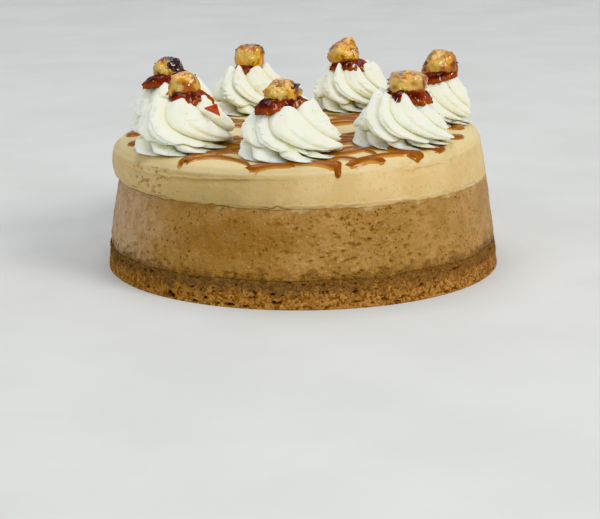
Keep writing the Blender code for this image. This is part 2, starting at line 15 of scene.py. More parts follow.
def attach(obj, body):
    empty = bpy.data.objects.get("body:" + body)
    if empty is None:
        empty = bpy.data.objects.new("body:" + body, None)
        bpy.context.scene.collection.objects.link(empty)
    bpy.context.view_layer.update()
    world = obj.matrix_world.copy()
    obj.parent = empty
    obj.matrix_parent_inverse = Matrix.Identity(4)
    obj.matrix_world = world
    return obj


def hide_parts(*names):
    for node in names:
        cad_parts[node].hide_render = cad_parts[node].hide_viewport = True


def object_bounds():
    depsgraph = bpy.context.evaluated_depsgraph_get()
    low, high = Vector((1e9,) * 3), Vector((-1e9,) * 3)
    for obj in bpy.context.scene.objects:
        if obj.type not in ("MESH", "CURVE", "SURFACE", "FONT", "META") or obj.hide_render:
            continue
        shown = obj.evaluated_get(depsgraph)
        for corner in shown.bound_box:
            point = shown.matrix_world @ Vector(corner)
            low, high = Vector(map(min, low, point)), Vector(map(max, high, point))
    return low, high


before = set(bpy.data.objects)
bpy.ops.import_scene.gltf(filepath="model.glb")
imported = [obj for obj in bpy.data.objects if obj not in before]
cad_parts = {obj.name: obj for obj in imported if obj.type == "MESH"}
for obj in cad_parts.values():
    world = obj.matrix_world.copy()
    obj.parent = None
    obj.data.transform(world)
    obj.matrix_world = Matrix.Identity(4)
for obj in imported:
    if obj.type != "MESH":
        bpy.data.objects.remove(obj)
cad_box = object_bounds()

MM = 0.001
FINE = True

# The cake's wall and seams, as in the solids
BASE_RADIUS = 114.7 * MM
WAIST_RADIUS = 107.2 * MM
BASE_SEAM = 15.2 * MM
CREAM_SEAM = 52.8 * MM
RIM_HEIGHT = 76.0 * MM
TOP_DOME = 3.2 * MM
TOP_SLOPE = 0.022
SHOULDER = 6.5 * MM
SHOULDER_DROP = 4.0 * MM
LEFT_BULGE = 3.5 * MM
RIGHT_DRAW = 4.3 * MM
GAP = 0.3 * MM
SEAM_OVERLAP = 0.02 * MM

# Caramel poured to and fro: where it turns back at the right and the left, and how it swings
LINE_PITCH = 29.3
LINE_TURNS = 6
RIGHT_FIRST = -66.5
LEFT_FIRST = -57.0
RIGHT_REACH = 89.0
LEFT_REACH = 99.0
REACH_SPREAD = 0.14
LINE_BOW = 7.0
LINE_SWING = 9.0 * MM
SWING_LENGTH = 65.0 * MM
SWING_CREST = 25.0 * MM
LINE_WOBBLE = 5.0 * MM
# Strokes swing only when they are long: none up to the first length, in full from the second
STEADY_LENGTH = 60.0
LOOSE_LENGTH = 110.0
RIM_KEEP = 2.2 * MM
# Strokes along the front rim: start, end and bow
FRONT_STROKES = [
    ((-31.0, -101.0), (-4.0, -103.0), 1.0),
    ((-14.0, -103.0), (21.0, -103.5), 4.0),
    ((11.0, -99.0), (32.0, -100.0), 9.0),
    ((23.0, -102.0), (46.0, -95.0), 5.0),
    ((11.0, -95.0), (41.0, -86.0), 24.0),
    ((28.0, -96.0), (60.0, -81.0), 3.0),
    ((-64.0, -85.0), (-27.0, -101.0), 14.0),
    ((-66.0, -85.0), (-36.0, -24.0), 4.0),
    ((-48.0, -72.0), (-29.0, -80.0), 9.0),
    ((60.0, -81.0), (-86.0, -57.0), 4.0),
]
# Drop over the front rim: where it starts on the top, and its length
DRIP = (17.5, -98.5)
DRIP_LENGTH = 8.0 * MM
SHORT_STROKE = 62.0 * MM
# Section of a poured line, and the fat turns near the rim
LINE_HALF_WIDTH = 4.4 * MM
LINE_RISE = 1.6 * MM
TURN_RADIUS = 6.6 * MM
TURN_STRETCH = 0.75
TURN_RISE = 2.1 * MM

# Rosettes: middle x, middle y, radius, height, angle of one fold's crest at the top in degrees
ROSETTES = [
    (-76.0, 21.0, 26.5, 26.0, 190.0),
    (-67.5, -44.0, 29.0, 27.0, 213.0),
    (-33.0, 70.0, 24.5, 26.0, 240.0),
    (-7.0, -74.0, 28.8, 26.0, 203.0),
    (31.5, 69.0, 25.5, 25.5, 225.0),
    (55.5, -51.5, 27.2, 26.5, 220.0),
    (76.5, 11.0, 25.0, 26.0, 235.0),
]
# Folds of each rosette and feet of its lower tier. Depth is a share of the radius; the rates turn a fold
# or a foot round the rosette from its foot to its crown
FOLD_COUNTS = (8, 7, 8, 7, 9, 9, 9)
FEET = 9
FOLD_DEPTH = 0.26
FOLD_RATE = 0.78
FOLD_LOW = 0.12
FOLD_END = 0.033
FOOT_RATE = 0.7
FOOT_SWEEP = 0.4
FOOT_LEVEL = 0.14
# Lower tier: how high it reaches, how much it falls away from its highest side, and its groove
TIER_TOP = 0.42
TIER_FALL = 0.3
TIER_ANGLE = 185.0
TIER_DEPTH = 0.1
ROSETTE_CROWN = 0.5

# Hazelnuts: shift x, shift y, middle above the cream, half width, half height, squareness,
# direction of the scorched side in degrees and the share of the nut it takes
NUTS = [
    (-2.4, -1.0, 34.0, 8.9, 7.8, 0.0, -20.0, 0.55),
    (2.0, -1.0, 34.2, 8.6, 8.0, 0.2, 60.0, 0.15),
    (0.8, 0.0, 33.4, 9.0, 8.2, 0.8, 30.0, 0.35),
    (-3.4, -2.0, 32.2, 9.6, 8.6, 0.0, 5.0, 0.2),
    (-5.5, 0.0, 32.8, 9.2, 8.0, 0.1, 120.0, 0.0),
    (2.7, -1.0, 32.3, 10.3, 7.6, 0.8, 200.0, 0.0),
    (5.2, -1.0, 33.8, 9.8, 9.2, 0.0, 170.0, 0.1),
]
# Points drawn out of a nut's caramel: nut, direction and lift in degrees, height and width as shares
PEAKS = [
    (0, 195.0, -20.0, 0.15, 0.3), (1, 230.0, -45.0, 0.3, 0.3), (1, 185.0, -25.0, 0.3, 0.12),
    (2, 250.0, -65.0, 0.45, 0.22), (3, 185.0, 15.0, 0.12, 0.15), (3, 10.0, 10.0, 0.14, 0.2),
    (4, 45.0, 66.0, 0.55, 0.4), (4, 185.0, -12.0, 0.2, 0.3), (5, 172.0, -20.0, 0.25, 0.12),
    (5, 5.0, 25.0, 0.12, 0.2), (6, 190.0, -25.0, 0.35, 0.45), (6, 20.0, 50.0, 0.12, 0.2),
]
# Caramel round the foot of each nut: shift x, shift y, half length, half width, middle height,
# slope, thickness
SKIRTS = [
    (-3.0, -2.5, 14.5, 11.5, 30.0, 0.22, 6.5),
    (4.9, -3.0, 12.6, 11.5, 29.0, -0.05, 7.0),
    (0.0, -2.0, 8.6, 10.0, 28.0, 0.0, 5.0),
    (-4.5, -3.0, 13.8, 12.5, 28.4, 0.1, 7.5),
    (-1.0, -2.5, 12.4, 10.5, 27.6, -0.04, 6.0),
    (3.2, -3.5, 13.2, 12.5, 27.4, 0.03, 7.5),
    (2.5, -3.0, 11.0, 11.0, 28.6, 0.2, 6.5),
]
SKIRT_SAG = 0.18
# Corners of the loose shard of caramel
SHARD = ((-54.0, -63.5, 101.0), (-47.0, -61.5, 103.0), (-45.0, -65.5, 97.0))
SHARD_THICK = 2.0 * MM

# Camera, fitted to the rims of the cake in the photograph
IMAGE_WIDTH = 600
FOCAL_PIXELS = 1800.0
CAMERA_BACK = 1040.0 * MM
CAMERA_HEIGHT = 262.0 * MM
CAMERA_SHIFT = -1.9 * MM
CAMERA_TILT = math.radians(14.185)
CAMERA_ROLL = math.radians(-0.4)
# Watts of the small lamp that gives wet surfaces their sharp glints
GLINT_POWER = 1.6


def rgb(code):
    """sRGB hex to the linear colour that shaders take."""
    channels = [int(code[place:place + 2], 16) / 255.0 for place in (1, 3, 5)]
    return tuple(c / 12.92 if c <= 0.04045 else ((c + 0.055) / 1.055) ** 2.4 for c in channels) + (1.0,)


def add(tree, kind, settings=None, values=None):
    """Adds a node, with its settings, and its inputs set or linked."""
    made = tree.nodes.new(kind)
    for name, value in (settings or {}).items():
        setattr(made, name, value)
    for name, value in (values or {}).items():
        socket = made.inputs[name]
        if isinstance(value, bpy.types.NodeSocket):
            tree.links.new(value, socket)
        else:
            socket.default_value = value
    return made


def blend(tree, share, first, second):
    """One colour mixed with another by a share."""
    mix = add(tree, "ShaderNodeMix", {"data_type": "RGBA"})
    for place, value in ((0, share), (6, first), (7, second)):
        if isinstance(value, bpy.types.NodeSocket):
            tree.links.new(value, mix.inputs[place])
        else:
            mix.inputs[place].default_value = value
    return mix.outputs[2]


def band(tree, value, low, high, clear=0.0, full=1.0):
    """Share that runs from clear to full as a value goes from low to high."""
    values = {"Value": value, "From Min": low, "From Max": high, "To Min": clear, "To Max": full}
    return add(tree, "ShaderNodeMapRange", {"interpolation_type": "SMOOTHSTEP"}, values).outputs["Result"]


def times(tree, first, second, operation="MULTIPLY"):
    made = add(tree, "ShaderNodeMath", {"operation": operation}, {0: first, 1: second})
    return made.outputs[0]


def grain(tree, where, per_mm, detail=3.0, roughness=0.55, distortion=0.0):
    """Noise with a feature every so many millimetres."""
    values = {"Vector": where, "Scale": per_mm / MM, "Detail": detail, "Roughness": roughness,
              "Distortion": distortion}
    return add(tree, "ShaderNodeTexNoise", None, values).outputs["Fac"]


def start_material(name, values):
    made = bpy.data.materials.new(name)
    made.use_nodes = True
    tree = made.node_tree
    shader = tree.nodes["Principled BSDF"]
    for key, value in values.items():
        shader.inputs[key].default_value = value
    where = add(tree, "ShaderNodeTexCoord").outputs["Object"]
    return made, tree, shader, where


def bump(tree, shader, height, distance, strength=1.0):
    values = {"Height": height, "Distance": distance, "Strength": strength}
    made = add(tree, "ShaderNodeBump", None, values)
    tree.links.new(made.outputs["Normal"], shader.inputs["Normal"])


def attribute(tree, name):
    return add(tree, "ShaderNodeAttribute", {"attribute_name": name}).outputs["Fac"]


def cell(tree, where, per_mm, randomness=1.0):
    """Voronoi cells: distance from each cell's point and the cell's own colour."""
    values = {"Vector": where, "Scale": per_mm / MM, "Randomness": randomness}
    made = add(tree, "ShaderNodeTexVoronoi", None, values)
    return made.outputs["Distance"], made.outputs["Color"]


def whipped_cream_material():
    """Ivory cream with painted greenish-yellow shade in its folds, and vanilla specks."""
    made, tree, shader, where = start_material("whipped cream with vanilla", {
        "Roughness": 0.42, "Subsurface Weight": 0.8, "Subsurface Radius": (1.0, 0.85, 0.55),
        "Subsurface Scale": 6.0 * MM, "IOR": 1.45})
    fold = attribute(tree, "fold")
    tone = blend(tree, band(tree, grain(tree, where, 0.12), 0.3, 0.7), rgb("#eff0dc"), rgb("#f5f5e6"))
    # painted shade: greenish-yellow in the creases between folds and in the seam between the tiers
    tone = blend(tree, times(tree, fold, 0.6), tone, rgb("#e2dea8"))
    distance, colour = cell(tree, where, 0.3)
    parts = add(tree, "ShaderNodeSeparateColor", None, {"Color": colour})
    chance = band(tree, parts.outputs["Red"], 0.5, 0.52)
    speck = times(tree, band(tree, distance, 0.13, 0.08), chance)
    tone = blend(tree, times(tree, speck, 0.75), tone, rgb("#4d4a3c"))
    tree.links.new(tone, shader.inputs["Base Color"])
    bump(tree, shader, grain(tree, where, 1.4, 4.0), 0.25 * MM, 0.5)
    return made


def coffee_cream_material():
    """Beige set cream, satin, with small pores; the seam below it is wet and pale. Its top is painted paler
    as painted light; the pores, a crack and a band at the front left are darkened as painted shade.
    """
    made, tree, shader, where = start_material("set coffee cream", {
        "Roughness": 0.5, "Subsurface Weight": 0.15, "Subsurface Radius": (1.0, 0.6, 0.3),
        "Subsurface Scale": 1.5 * MM, "IOR": 1.45})
    patch = band(tree, grain(tree, where, 0.05, 4.0), 0.35, 0.65)
    tone = blend(tree, patch, rgb("#d2b47a"), rgb("#dbc08a"))
    tone = blend(tree, band(tree, grain(tree, where, 0.35, 3.0), 0.55, 0.75), tone, rgb("#c8a970"))
    # painted shade: an olive-grey band on the wall at the front left and on the top inside that rim
    tone = blend(tree, attribute(tree, "painted_shade"), tone, rgb("#a8905a"))
    # painted light: the top and the upper edge of the wall painted paler
    tone = blend(tree, attribute(tree, "top"), tone, rgb("#dccb9b"))
    distance, colour = cell(tree, where, 0.42)
    parts = add(tree, "ShaderNodeSeparateColor", None, {"Color": colour})
    chance = band(tree, parts.outputs["Green"], 0.72, 0.76)
    chance = times(tree, chance, attribute(tree, "pocked"))
    pore = times(tree, band(tree, distance, 0.26, 0.12), chance)
    # painted shade: the pores are painted dark
    tone = blend(tree, times(tree, pore, 0.75), tone, rgb("#87693a"))
    fleck, fleck_colour = cell(tree, where, 0.28)
    parts = add(tree, "ShaderNodeSeparateColor", None, {"Color": fleck_colour})
    rare = band(tree, parts.outputs["Red"], 0.93, 0.95)
    fleck = times(tree, band(tree, fleck, 0.1, 0.05), rare)
    tone = blend(tree, times(tree, fleck, 0.6), tone, rgb("#8a6a3c"))
    tone = blend(tree, times(tree, attribute(tree, "seam"), 0.7), tone, rgb("#cdbf9a"))
    tone = blend(tree, times(tree, attribute(tree, "stain"), 0.85), tone, rgb("#b58a50"))
    # painted shade: dark along the crack just above the seam and in the pits
    tone = blend(tree, attribute(tree, "crack_shade"), tone, rgb("#6f5128"))
    tree.links.new(tone, shader.inputs["Base Color"])
    wet = add(tree, "ShaderNodeMapRange", None,
              {"Value": attribute(tree, "seam"), "To Min": 0.5, "To Max": 0.18})
    tree.links.new(wet.outputs["Result"], shader.inputs["Roughness"])
    height = times(tree, grain(tree, where, 0.8, 5.0), times(tree, pore, 1.8), "SUBTRACT")
    bump(tree, shader, height, 0.5 * MM, 0.6)
    return made


def baked_material():
    """Tan baked filling: pitted, with painted shade in the pits, darker and glossier where it browned."""
    made, tree, shader, where = start_material("baked cheese filling", {
        "Roughness": 0.42, "Subsurface Weight": 0.08, "Subsurface Radius": (1.0, 0.5, 0.2),
        "Subsurface Scale": 1.5 * MM, "IOR": 1.45})
    patch = band(tree, grain(tree, where, 0.03, 4.0, 0.6), 0.38, 0.62)
    tone = blend(tree, patch, rgb("#b0864a"), rgb("#be9257"))
    tone = blend(tree, times(tree, attribute(tree, "amber"), 0.85), tone, rgb("#9a6b2c"))
    tone = blend(tree, times(tree, attribute(tree, "grey"), 0.75), tone, rgb("#d3b088"))
    mottle = band(tree, grain(tree, where, 0.16, 5.0, 0.65), 0.44, 0.62)
    tone = blend(tree, times(tree, mottle, 0.4), tone, rgb("#96702f"))
    dark = band(tree, grain(tree, where, 0.45, 4.0, 0.65), 0.54, 0.76)
    tone = blend(tree, times(tree, dark, 0.6), tone, rgb("#805a28"))
    tone = blend(tree, band(tree, grain(tree, where, 0.8, 3.0), 0.6, 0.8), tone, rgb("#d8b87e"))
    distance, colour = cell(tree, where, 0.5)
    parts = add(tree, "ShaderNodeSeparateColor", None, {"Color": colour})
    chance = band(tree, parts.outputs["Green"], 0.6, 0.66)
    chance = times(tree, chance, band(tree, grain(tree, where, 0.04, 2.0), 0.42, 0.6))
    pit = times(tree, band(tree, distance, 0.3, 0.14), chance)
    # painted shade: the pits are painted dark
    tone = blend(tree, times(tree, pit, 0.75), tone, rgb("#5d3d18"))
    tone = blend(tree, times(tree, attribute(tree, "foot"), 0.75), tone, rgb("#7c582e"))
    tone = blend(tree, times(tree, attribute(tree, "smear"), 0.8), tone, rgb("#d2bb88"))
    tree.links.new(tone, shader.inputs["Base Color"])
    gloss = {"Value": attribute(tree, "wet"), "To Min": 0.38, "To Max": 0.08}
    tree.links.new(add(tree, "ShaderNodeMapRange", None, gloss).outputs["Result"], shader.inputs["Roughness"])
    height = times(tree, grain(tree, where, 1.0, 6.0, 0.66), times(tree, pit, 1.5), "SUBTRACT")
    bump(tree, shader, height, 0.9 * MM, 1.0)
    return made


def crumb_material():
    """Pressed biscuit crumb: orange-brown grains under a dark damp band, with painted shade in its holes and
    underneath.
    """
    made, tree, shader, where = start_material("pressed biscuit crumb", {"Roughness": 0.78, "IOR": 1.4})
    distance, colour = cell(tree, where, 0.75)
    parts = add(tree, "ShaderNodeSeparateColor", None, {"Color": colour})
    tone = blend(tree, parts.outputs["Red"], rgb("#a97640"), rgb("#cd9a5c"))
    tone = blend(tree, band(tree, parts.outputs["Green"], 0.6, 0.9), tone, rgb("#8a5c2c"))
    across = add(tree, "ShaderNodeSeparateXYZ", None, {"Vector": where}).outputs["X"]
    right = band(tree, across, -20.0 * MM, 50.0 * MM)
    damp = blend(tree, right, rgb("#6c5238"), rgb("#7a5230"))
    damp = blend(tree, times(tree, parts.outputs["Red"], 0.6), damp, rgb("#a8804e"))
    tone = blend(tree, attribute(tree, "damp"), tone, damp)
    tone = blend(tree, band(tree, grain(tree, where, 0.5, 4.0, 0.7), 0.58, 0.74), tone, rgb("#5c4024"))
    # painted shade: near black in the holes of the crumb and on the underside
    tone = blend(tree, attribute(tree, "gap_shade"), tone, rgb("#150c05"))
    tree.links.new(tone, shader.inputs["Base Color"])
    height = times(tree, grain(tree, where, 1.1, 5.0, 0.7), distance, "SUBTRACT")
    bump(tree, shader, height, 1.0 * MM, 1.0)
    return made


def caramel_material():
    """Poured caramel: thick amber-brown middles, thin tan edges, wet gloss."""
    made, tree, shader, where = start_material("poured caramel", {
        "Roughness": 0.08, "IOR": 1.38,
        "Subsurface Weight": 0.05, "Subsurface Radius": (1.0, 0.5, 0.2), "Subsurface Scale": 1.0 * MM})
    thick = attribute(tree, "thick")
    tone = blend(tree, thick, rgb("#bd8a48"), rgb("#8a4b16"))
    tone = blend(tree, band(tree, grain(tree, where, 0.12, 3.0), 0.5, 0.8), tone, rgb("#9c6028"))
    tree.links.new(tone, shader.inputs["Base Color"])
    bump(tree, shader, grain(tree, where, 0.3, 2.0), 0.3 * MM, 0.3)
    return made


def nut_material():
    """Roasted hazelnut in clear golden caramel: straw where bare and as painted sheen on the front, burnt
    sienna in the hollows.
    """
    made, tree, shader, where = start_material("roasted hazelnut in caramel", {
        "Roughness": 0.1, "IOR": 1.45, "Coat Weight": 1.0, "Coat Roughness": 0.02, "Coat IOR": 1.5,
        "Subsurface Weight": 0.1, "Subsurface Radius": (1.0, 0.4, 0.05), "Subsurface Scale": 1.0 * MM})
    toasted = band(tree, grain(tree, where, 0.09, 2.0, 0.5), 0.4, 0.6)
    tone = blend(tree, toasted, rgb("#dfa42c"), rgb("#a15a10"))
    vein = band(tree, grain(tree, where, 0.13, 2.0, 0.5, 2.2), 0.52, 0.64)
    tone = blend(tree, times(tree, vein, 0.75), tone, rgb("#6c2f08"))
    # painted sheen: pale straw on the side that faces the front and upper left
    tone = blend(tree, times(tree, attribute(tree, "pale"), 0.8), tone, rgb("#dfbd62"))
    tone = blend(tree, times(tree, attribute(tree, "red"), 0.5), tone, rgb("#b0480a"))
    tone = blend(tree, attribute(tree, "scorch"), tone, rgb("#2a120c"))
    tree.links.new(tone, shader.inputs["Base Color"])
    bump(tree, shader, grain(tree, where, 0.22, 1.0, 0.5), 0.6 * MM, 0.4)
    return made


def skirt_material():
    """Burnt caramel run down round the nut: maroon, orange-red and amber where thin."""
    made, tree, shader, where = start_material("burnt caramel pool", {
        "Roughness": 0.05, "IOR": 1.42,
        "Subsurface Weight": 0.1, "Subsurface Radius": (1.0, 0.2, 0.03), "Subsurface Scale": 1.0 * MM})
    tone = blend(tree, band(tree, grain(tree, where, 0.2, 3.0), 0.4, 0.62), rgb("#3c0f0b"), rgb("#6b1b0a"))
    tone = blend(tree, times(tree, attribute(tree, "amber"), 0.75), tone, rgb("#93350a"))
    tone = blend(tree, times(tree, attribute(tree, "thin"), 0.7), tone, rgb("#a64c0e"))
    tone = blend(tree, band(tree, grain(tree, where, 0.35, 2.0), 0.66, 0.7), tone, rgb("#d08a24"))
    tree.links.new(tone, shader.inputs["Base Color"])
    bump(tree, shader, grain(tree, where, 0.25, 1.0), 0.6 * MM, 0.4)
    return made


def shard_material():
    """Clear orange caramel glass."""
    made, tree, shader, where = start_material("clear caramel shard", {
        "Roughness": 0.08, "Coat Weight": 1.0, "Coat Roughness": 0.03, "IOR": 1.5,
        "Transmission Weight": 0.25})
    tone = blend(tree, band(tree, grain(tree, where, 0.2, 3.0), 0.4, 0.6), rgb("#d4541a"), rgb("#a32f0e"))
    tree.links.new(tone, shader.inputs["Base Color"])
    bump(tree, shader, grain(tree, where, 0.3, 2.0), 0.4 * MM, 0.4)
    return made


def wander(x, y, z, size):
    """Smooth noise between about -1 and 1 with features of the given size."""
    return noise.noise(Vector((x / size, y / size, z / size)))


def base_seam(angle):
    lean = 0.7 * MM * math.cos(angle)
    bumps = 1.5 * MM * wander(math.cos(angle), math.sin(angle), 3.0, 0.23)
    return BASE_SEAM + lean + bumps


def cream_seam(angle):
    bumps = 0.9 * MM * wander(math.cos(angle), math.sin(angle), 7.0, 0.4)
    return CREAM_SEAM - 0.8 * MM * math.sin(angle) + bumps


def wall_radius(angle, height):
    low = min(height, CREAM_SEAM) / CREAM_SEAM
    radius = BASE_RADIUS - (BASE_RADIUS - WAIST_RADIUS) * max(0.0, low) ** 1.3
    share = max(0.0, (height - CREAM_SEAM) / (RIM_HEIGHT - CREAM_SEAM))
    left = 0.5 - 0.5 * math.cos(angle)
    bulge = LEFT_BULGE * math.sin(math.pi * min(1.0, share) ** 0.7) + 1.2 * MM * share
    radius += left * bulge - (1.0 - left) * RIGHT_DRAW * share
    return radius + 0.8 * MM * wander(math.cos(angle), math.sin(angle), height / 0.05, 0.9)


def crown_height(x, y):
    far = math.hypot(x, y)
    swell = 0.5 * MM * wander(x, y, 0.0, 0.08)
    return RIM_HEIGHT + TOP_DOME * (1.0 - (far / BASE_RADIUS) ** 2) + TOP_SLOPE * x + swell


def top_height(x, y):
    rim = wall_radius(math.atan2(y, x), RIM_HEIGHT)
    over = min(1.0, max(0.0, math.hypot(x, y) - (rim - SHOULDER)) / SHOULDER)
    return crown_height(x, y) - SHOULDER_DROP * (1.0 - math.sqrt(1.0 - over ** 2))


def piece(name, points, faces, skin, marks=None, nodes=()):
    """A finished mesh object that rides on the cake, with its point attributes."""
    data = bpy.data.meshes.new(name)
    data.from_pydata([tuple(point) for point in points], [], faces)
    for mark, values in (marks or {}).items():
        layer = data.attributes.new(mark, "FLOAT", "POINT")
        layer.data.foreach_set("value", [float(value) for value in values])
    work = bmesh.new()
    work.from_mesh(data)
    bmesh.ops.recalc_face_normals(work, faces=work.faces)
    work.to_mesh(data)
    work.free()
    data.shade_smooth()
    data.materials.append(skin)
    made = bpy.data.objects.new(name, data)
    bpy.context.scene.collection.objects.link(made)
    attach(made, "root")
    if nodes:
        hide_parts(*nodes)
    return made


def stacked_faces(count, rows):
    """Faces of rings stacked between a low centre and a high centre."""
    faces = []
    last = 1 + (rows - 1) * count
    for side in range(count):
        after = (side + 1) % count
        faces.append((0, 1 + after, 1 + side))
        for row in range(rows - 1):
            here = 1 + row * count
            above = here + count
            faces.append((here + side, here + after, above + after, above + side))
        faces.append((last + side, last + after, last + count))
    return faces


def angles(count):
    return [2.0 * math.pi * step / count for step in range(count)]


def layered(x, y, z, size, octaves=4):
    """Noise of several octaves between about -1 and 1."""
    return noise.fractal(Vector((x / size, y / size, z / size)), 0.9, 2.1, octaves)


def smooth(low, high, value):
    """0 to 1 as a value goes from low to high, either way round, with soft ends."""
    share = min(1.0, max(0.0, (value - low) / (high - low)))
    return share * share * (3.0 - 2.0 * share)


def near(angle, middle, width):
    """1 at an angle in degrees, falling to 0 a width away, round the circle."""
    away = (math.degrees(angle) - middle + 180.0) % 360.0 - 180.0
    return math.exp(-(away / width) ** 2)


def crumb_base(skin):
    sides = 900 if FINE else 300
    rows = 30 if FINE else 14
    points = [(0.0, 0.0, 0.0)]
    damp = [0.0]
    gap_shade = [0.0]
    for inset in (40.0 * MM, 1.0 * MM):
        for angle in angles(sides):
            radius = wall_radius(angle, 0.0) - inset
            points.append((radius * math.cos(angle), radius * math.sin(angle), 0.0))
            damp.append(0.0)
            # painted shade over the whole underside
            gap_shade.append(1.0)
    for row in range(rows + 1):
        share = row / rows
        for angle in angles(sides):
            seam = base_seam(angle)
            height = share * seam
            radius = wall_radius(angle, height)
            x, y = radius * math.cos(angle), radius * math.sin(angle)
            lumps = 0.7 * MM * layered(x, y, height, 5.0 * MM, 4)
            grains = 0.5 * MM * abs(layered(x, y, height, 1.6 * MM, 3))
            hump = max(0.0, 1.0 - abs(share - 0.12) / 0.14)
            low = 0.5 * hump * smooth(-0.2, 0.4, wander(5.0 * angle, 4.0, 0.0, 1.0))
            hole = smooth(0.5, 0.7, layered(x, y, height * 2.2, 5.0 * MM, 3) + low)
            edge = smooth(0.0, 0.1, share) * smooth(-0.03, 0.03, 1.0 - share)
            radius += edge * (lumps + grains - 1.8 * MM * hole - 0.45 * MM)
            points.append((radius * math.cos(angle), radius * math.sin(angle), height))
            ragged = 0.32 * layered(x, y, height, 5.0 * MM, 4) + 0.16 * wander(4.0 * angle, 8.0, 0.0, 1.0)
            damp.append(0.95 * smooth(0.38, 0.75, share + ragged))
            # painted shade in the holes of the wall
            gap_shade.append(hole * edge)
    points.append((0.0, 0.0, BASE_SEAM))
    damp.append(1.0)
    gap_shade.append(0.0)
    faces = stacked_faces(sides, rows + 3)
    return piece("crumb_base_shown", points, faces, skin, {"damp": damp, "gap_shade": gap_shade}, ["crumb_base"])


def crumb_ground():
    """Strip of the base's wall that crumbs are scattered on, with its damp band."""
    sides = 360
    rows = 8
    points = []
    damp = []
    for row in range(rows + 1):
        for angle in angles(sides):
            share = 0.12 + 0.81 * row / rows
            height = share * base_seam(angle)
            radius = wall_radius(angle, height) - 0.9 * MM
            points.append((radius * math.cos(angle), radius * math.sin(angle), height))
            damp.append(smooth(0.5, 0.75, share))
    faces = []
    for row in range(rows):
        for side in range(sides):
            here = row * sides
            after = (side + 1) % sides
            faces.append((here + side, here + after, here + sides + after, here + sides + side))
    data = bpy.data.meshes.new("crumb_ground")
    data.from_pydata(points, [], faces)
    data.attributes.new("damp", "FLOAT", "POINT").data.foreach_set("value", damp)
    made = bpy.data.objects.new("crumb_ground", data)
    bpy.context.scene.collection.objects.link(made)
    return made


def crumb_scatter(skin):
    """Node tree that scatters lumpy crumbs over a surface, each turned and stretched its own way."""
    tree = bpy.data.node_groups.new("crumb scatter", "GeometryNodeTree")
    tree.interface.new_socket("Geometry", in_out="INPUT", socket_type="NodeSocketGeometry")
    for name, kind in (("Crumbs per square metre", "Float"), ("Smallest", "Vector"), ("Largest", "Vector"),
                       ("Lumpiness", "Float"), ("Seed", "Int")):
        tree.interface.new_socket(name, in_out="INPUT", socket_type="NodeSocket" + kind)
    tree.interface.new_socket("Geometry", in_out="OUTPUT", socket_type="NodeSocketGeometry")
    given = add(tree, "NodeGroupInput").outputs
    ball = add(tree, "GeometryNodeMeshIcoSphere", None, {"Radius": 1.0, "Subdivisions": 2})
    lumps = add(tree, "ShaderNodeTexNoise", None, {"Scale": 1.6, "Detail": 2.0})
    normal = add(tree, "GeometryNodeInputNormal").outputs["Normal"]
    swell = times(tree, times(tree, lumps.outputs["Fac"], 0.5, "SUBTRACT"), given["Lumpiness"])
    offset = add(tree, "ShaderNodeVectorMath", {"operation": "SCALE"}, {"Vector": normal, "Scale": swell})
    crumb = add(tree, "GeometryNodeSetPosition", None, {
        "Geometry": ball.outputs["Mesh"], "Offset": offset.outputs["Vector"]})
    places = add(tree, "GeometryNodeDistributePointsOnFaces", None, {
        "Mesh": given["Geometry"], "Density": given["Crumbs per square metre"], "Seed": given["Seed"]})
    turn = add(tree, "FunctionNodeRandomValue", {"data_type": "FLOAT_VECTOR"}, {
        "Max": (2.0 * math.pi, 2.0 * math.pi, 2.0 * math.pi), "Seed": given["Seed"]})
    stretch = add(tree, "FunctionNodeRandomValue", {"data_type": "FLOAT_VECTOR"}, {
        "Min": given["Smallest"], "Max": given["Largest"], "Seed": given["Seed"]})
    laid = add(tree, "GeometryNodeInstanceOnPoints", None, {
        "Points": places.outputs["Points"], "Instance": crumb.outputs["Geometry"],
        "Rotation": turn.outputs["Value"], "Scale": stretch.outputs["Value"]})
    real = add(tree, "GeometryNodeRealizeInstances", None, {"Geometry": laid.outputs["Instances"]})
    done = add(tree, "GeometryNodeSetMaterial", None,
               {"Geometry": real.outputs["Geometry"], "Material": skin})
    add(tree, "NodeGroupOutput", None, {"Geometry": done.outputs["Geometry"]})
    return tree


def loose_crumbs(skin):
    """Crumbs standing out of the base's wall, joined into one mesh."""
    ground = crumb_ground()
    tree = crumb_scatter(skin)
    settings = {"Crumbs per square metre": 150000.0 if FINE else 30000.0, "Lumpiness": 0.9, "Seed": 41,
                "Smallest": (0.3 * MM,) * 3, "Largest": (0.95 * MM,) * 3}
    scatter = ground.modifiers.new("crumbs", "NODES")
    scatter.node_group = tree
    for socket in tree.interface.items_tree:
        if socket.in_out == "INPUT" and socket.name in settings:
            scatter[socket.identifier] = settings[socket.name]
    bpy.context.view_layer.update()
    shown = ground.evaluated_get(bpy.context.evaluated_depsgraph_get())
    data = bpy.data.meshes.new_from_object(shown)
    ground.modifiers.clear()
    bpy.data.objects.remove(ground, do_unlink=True)
    data.shade_smooth()
    made = bpy.data.objects.new("loose_crumbs", data)
    bpy.context.scene.collection.objects.link(made)
    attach(made, "root")
    return made


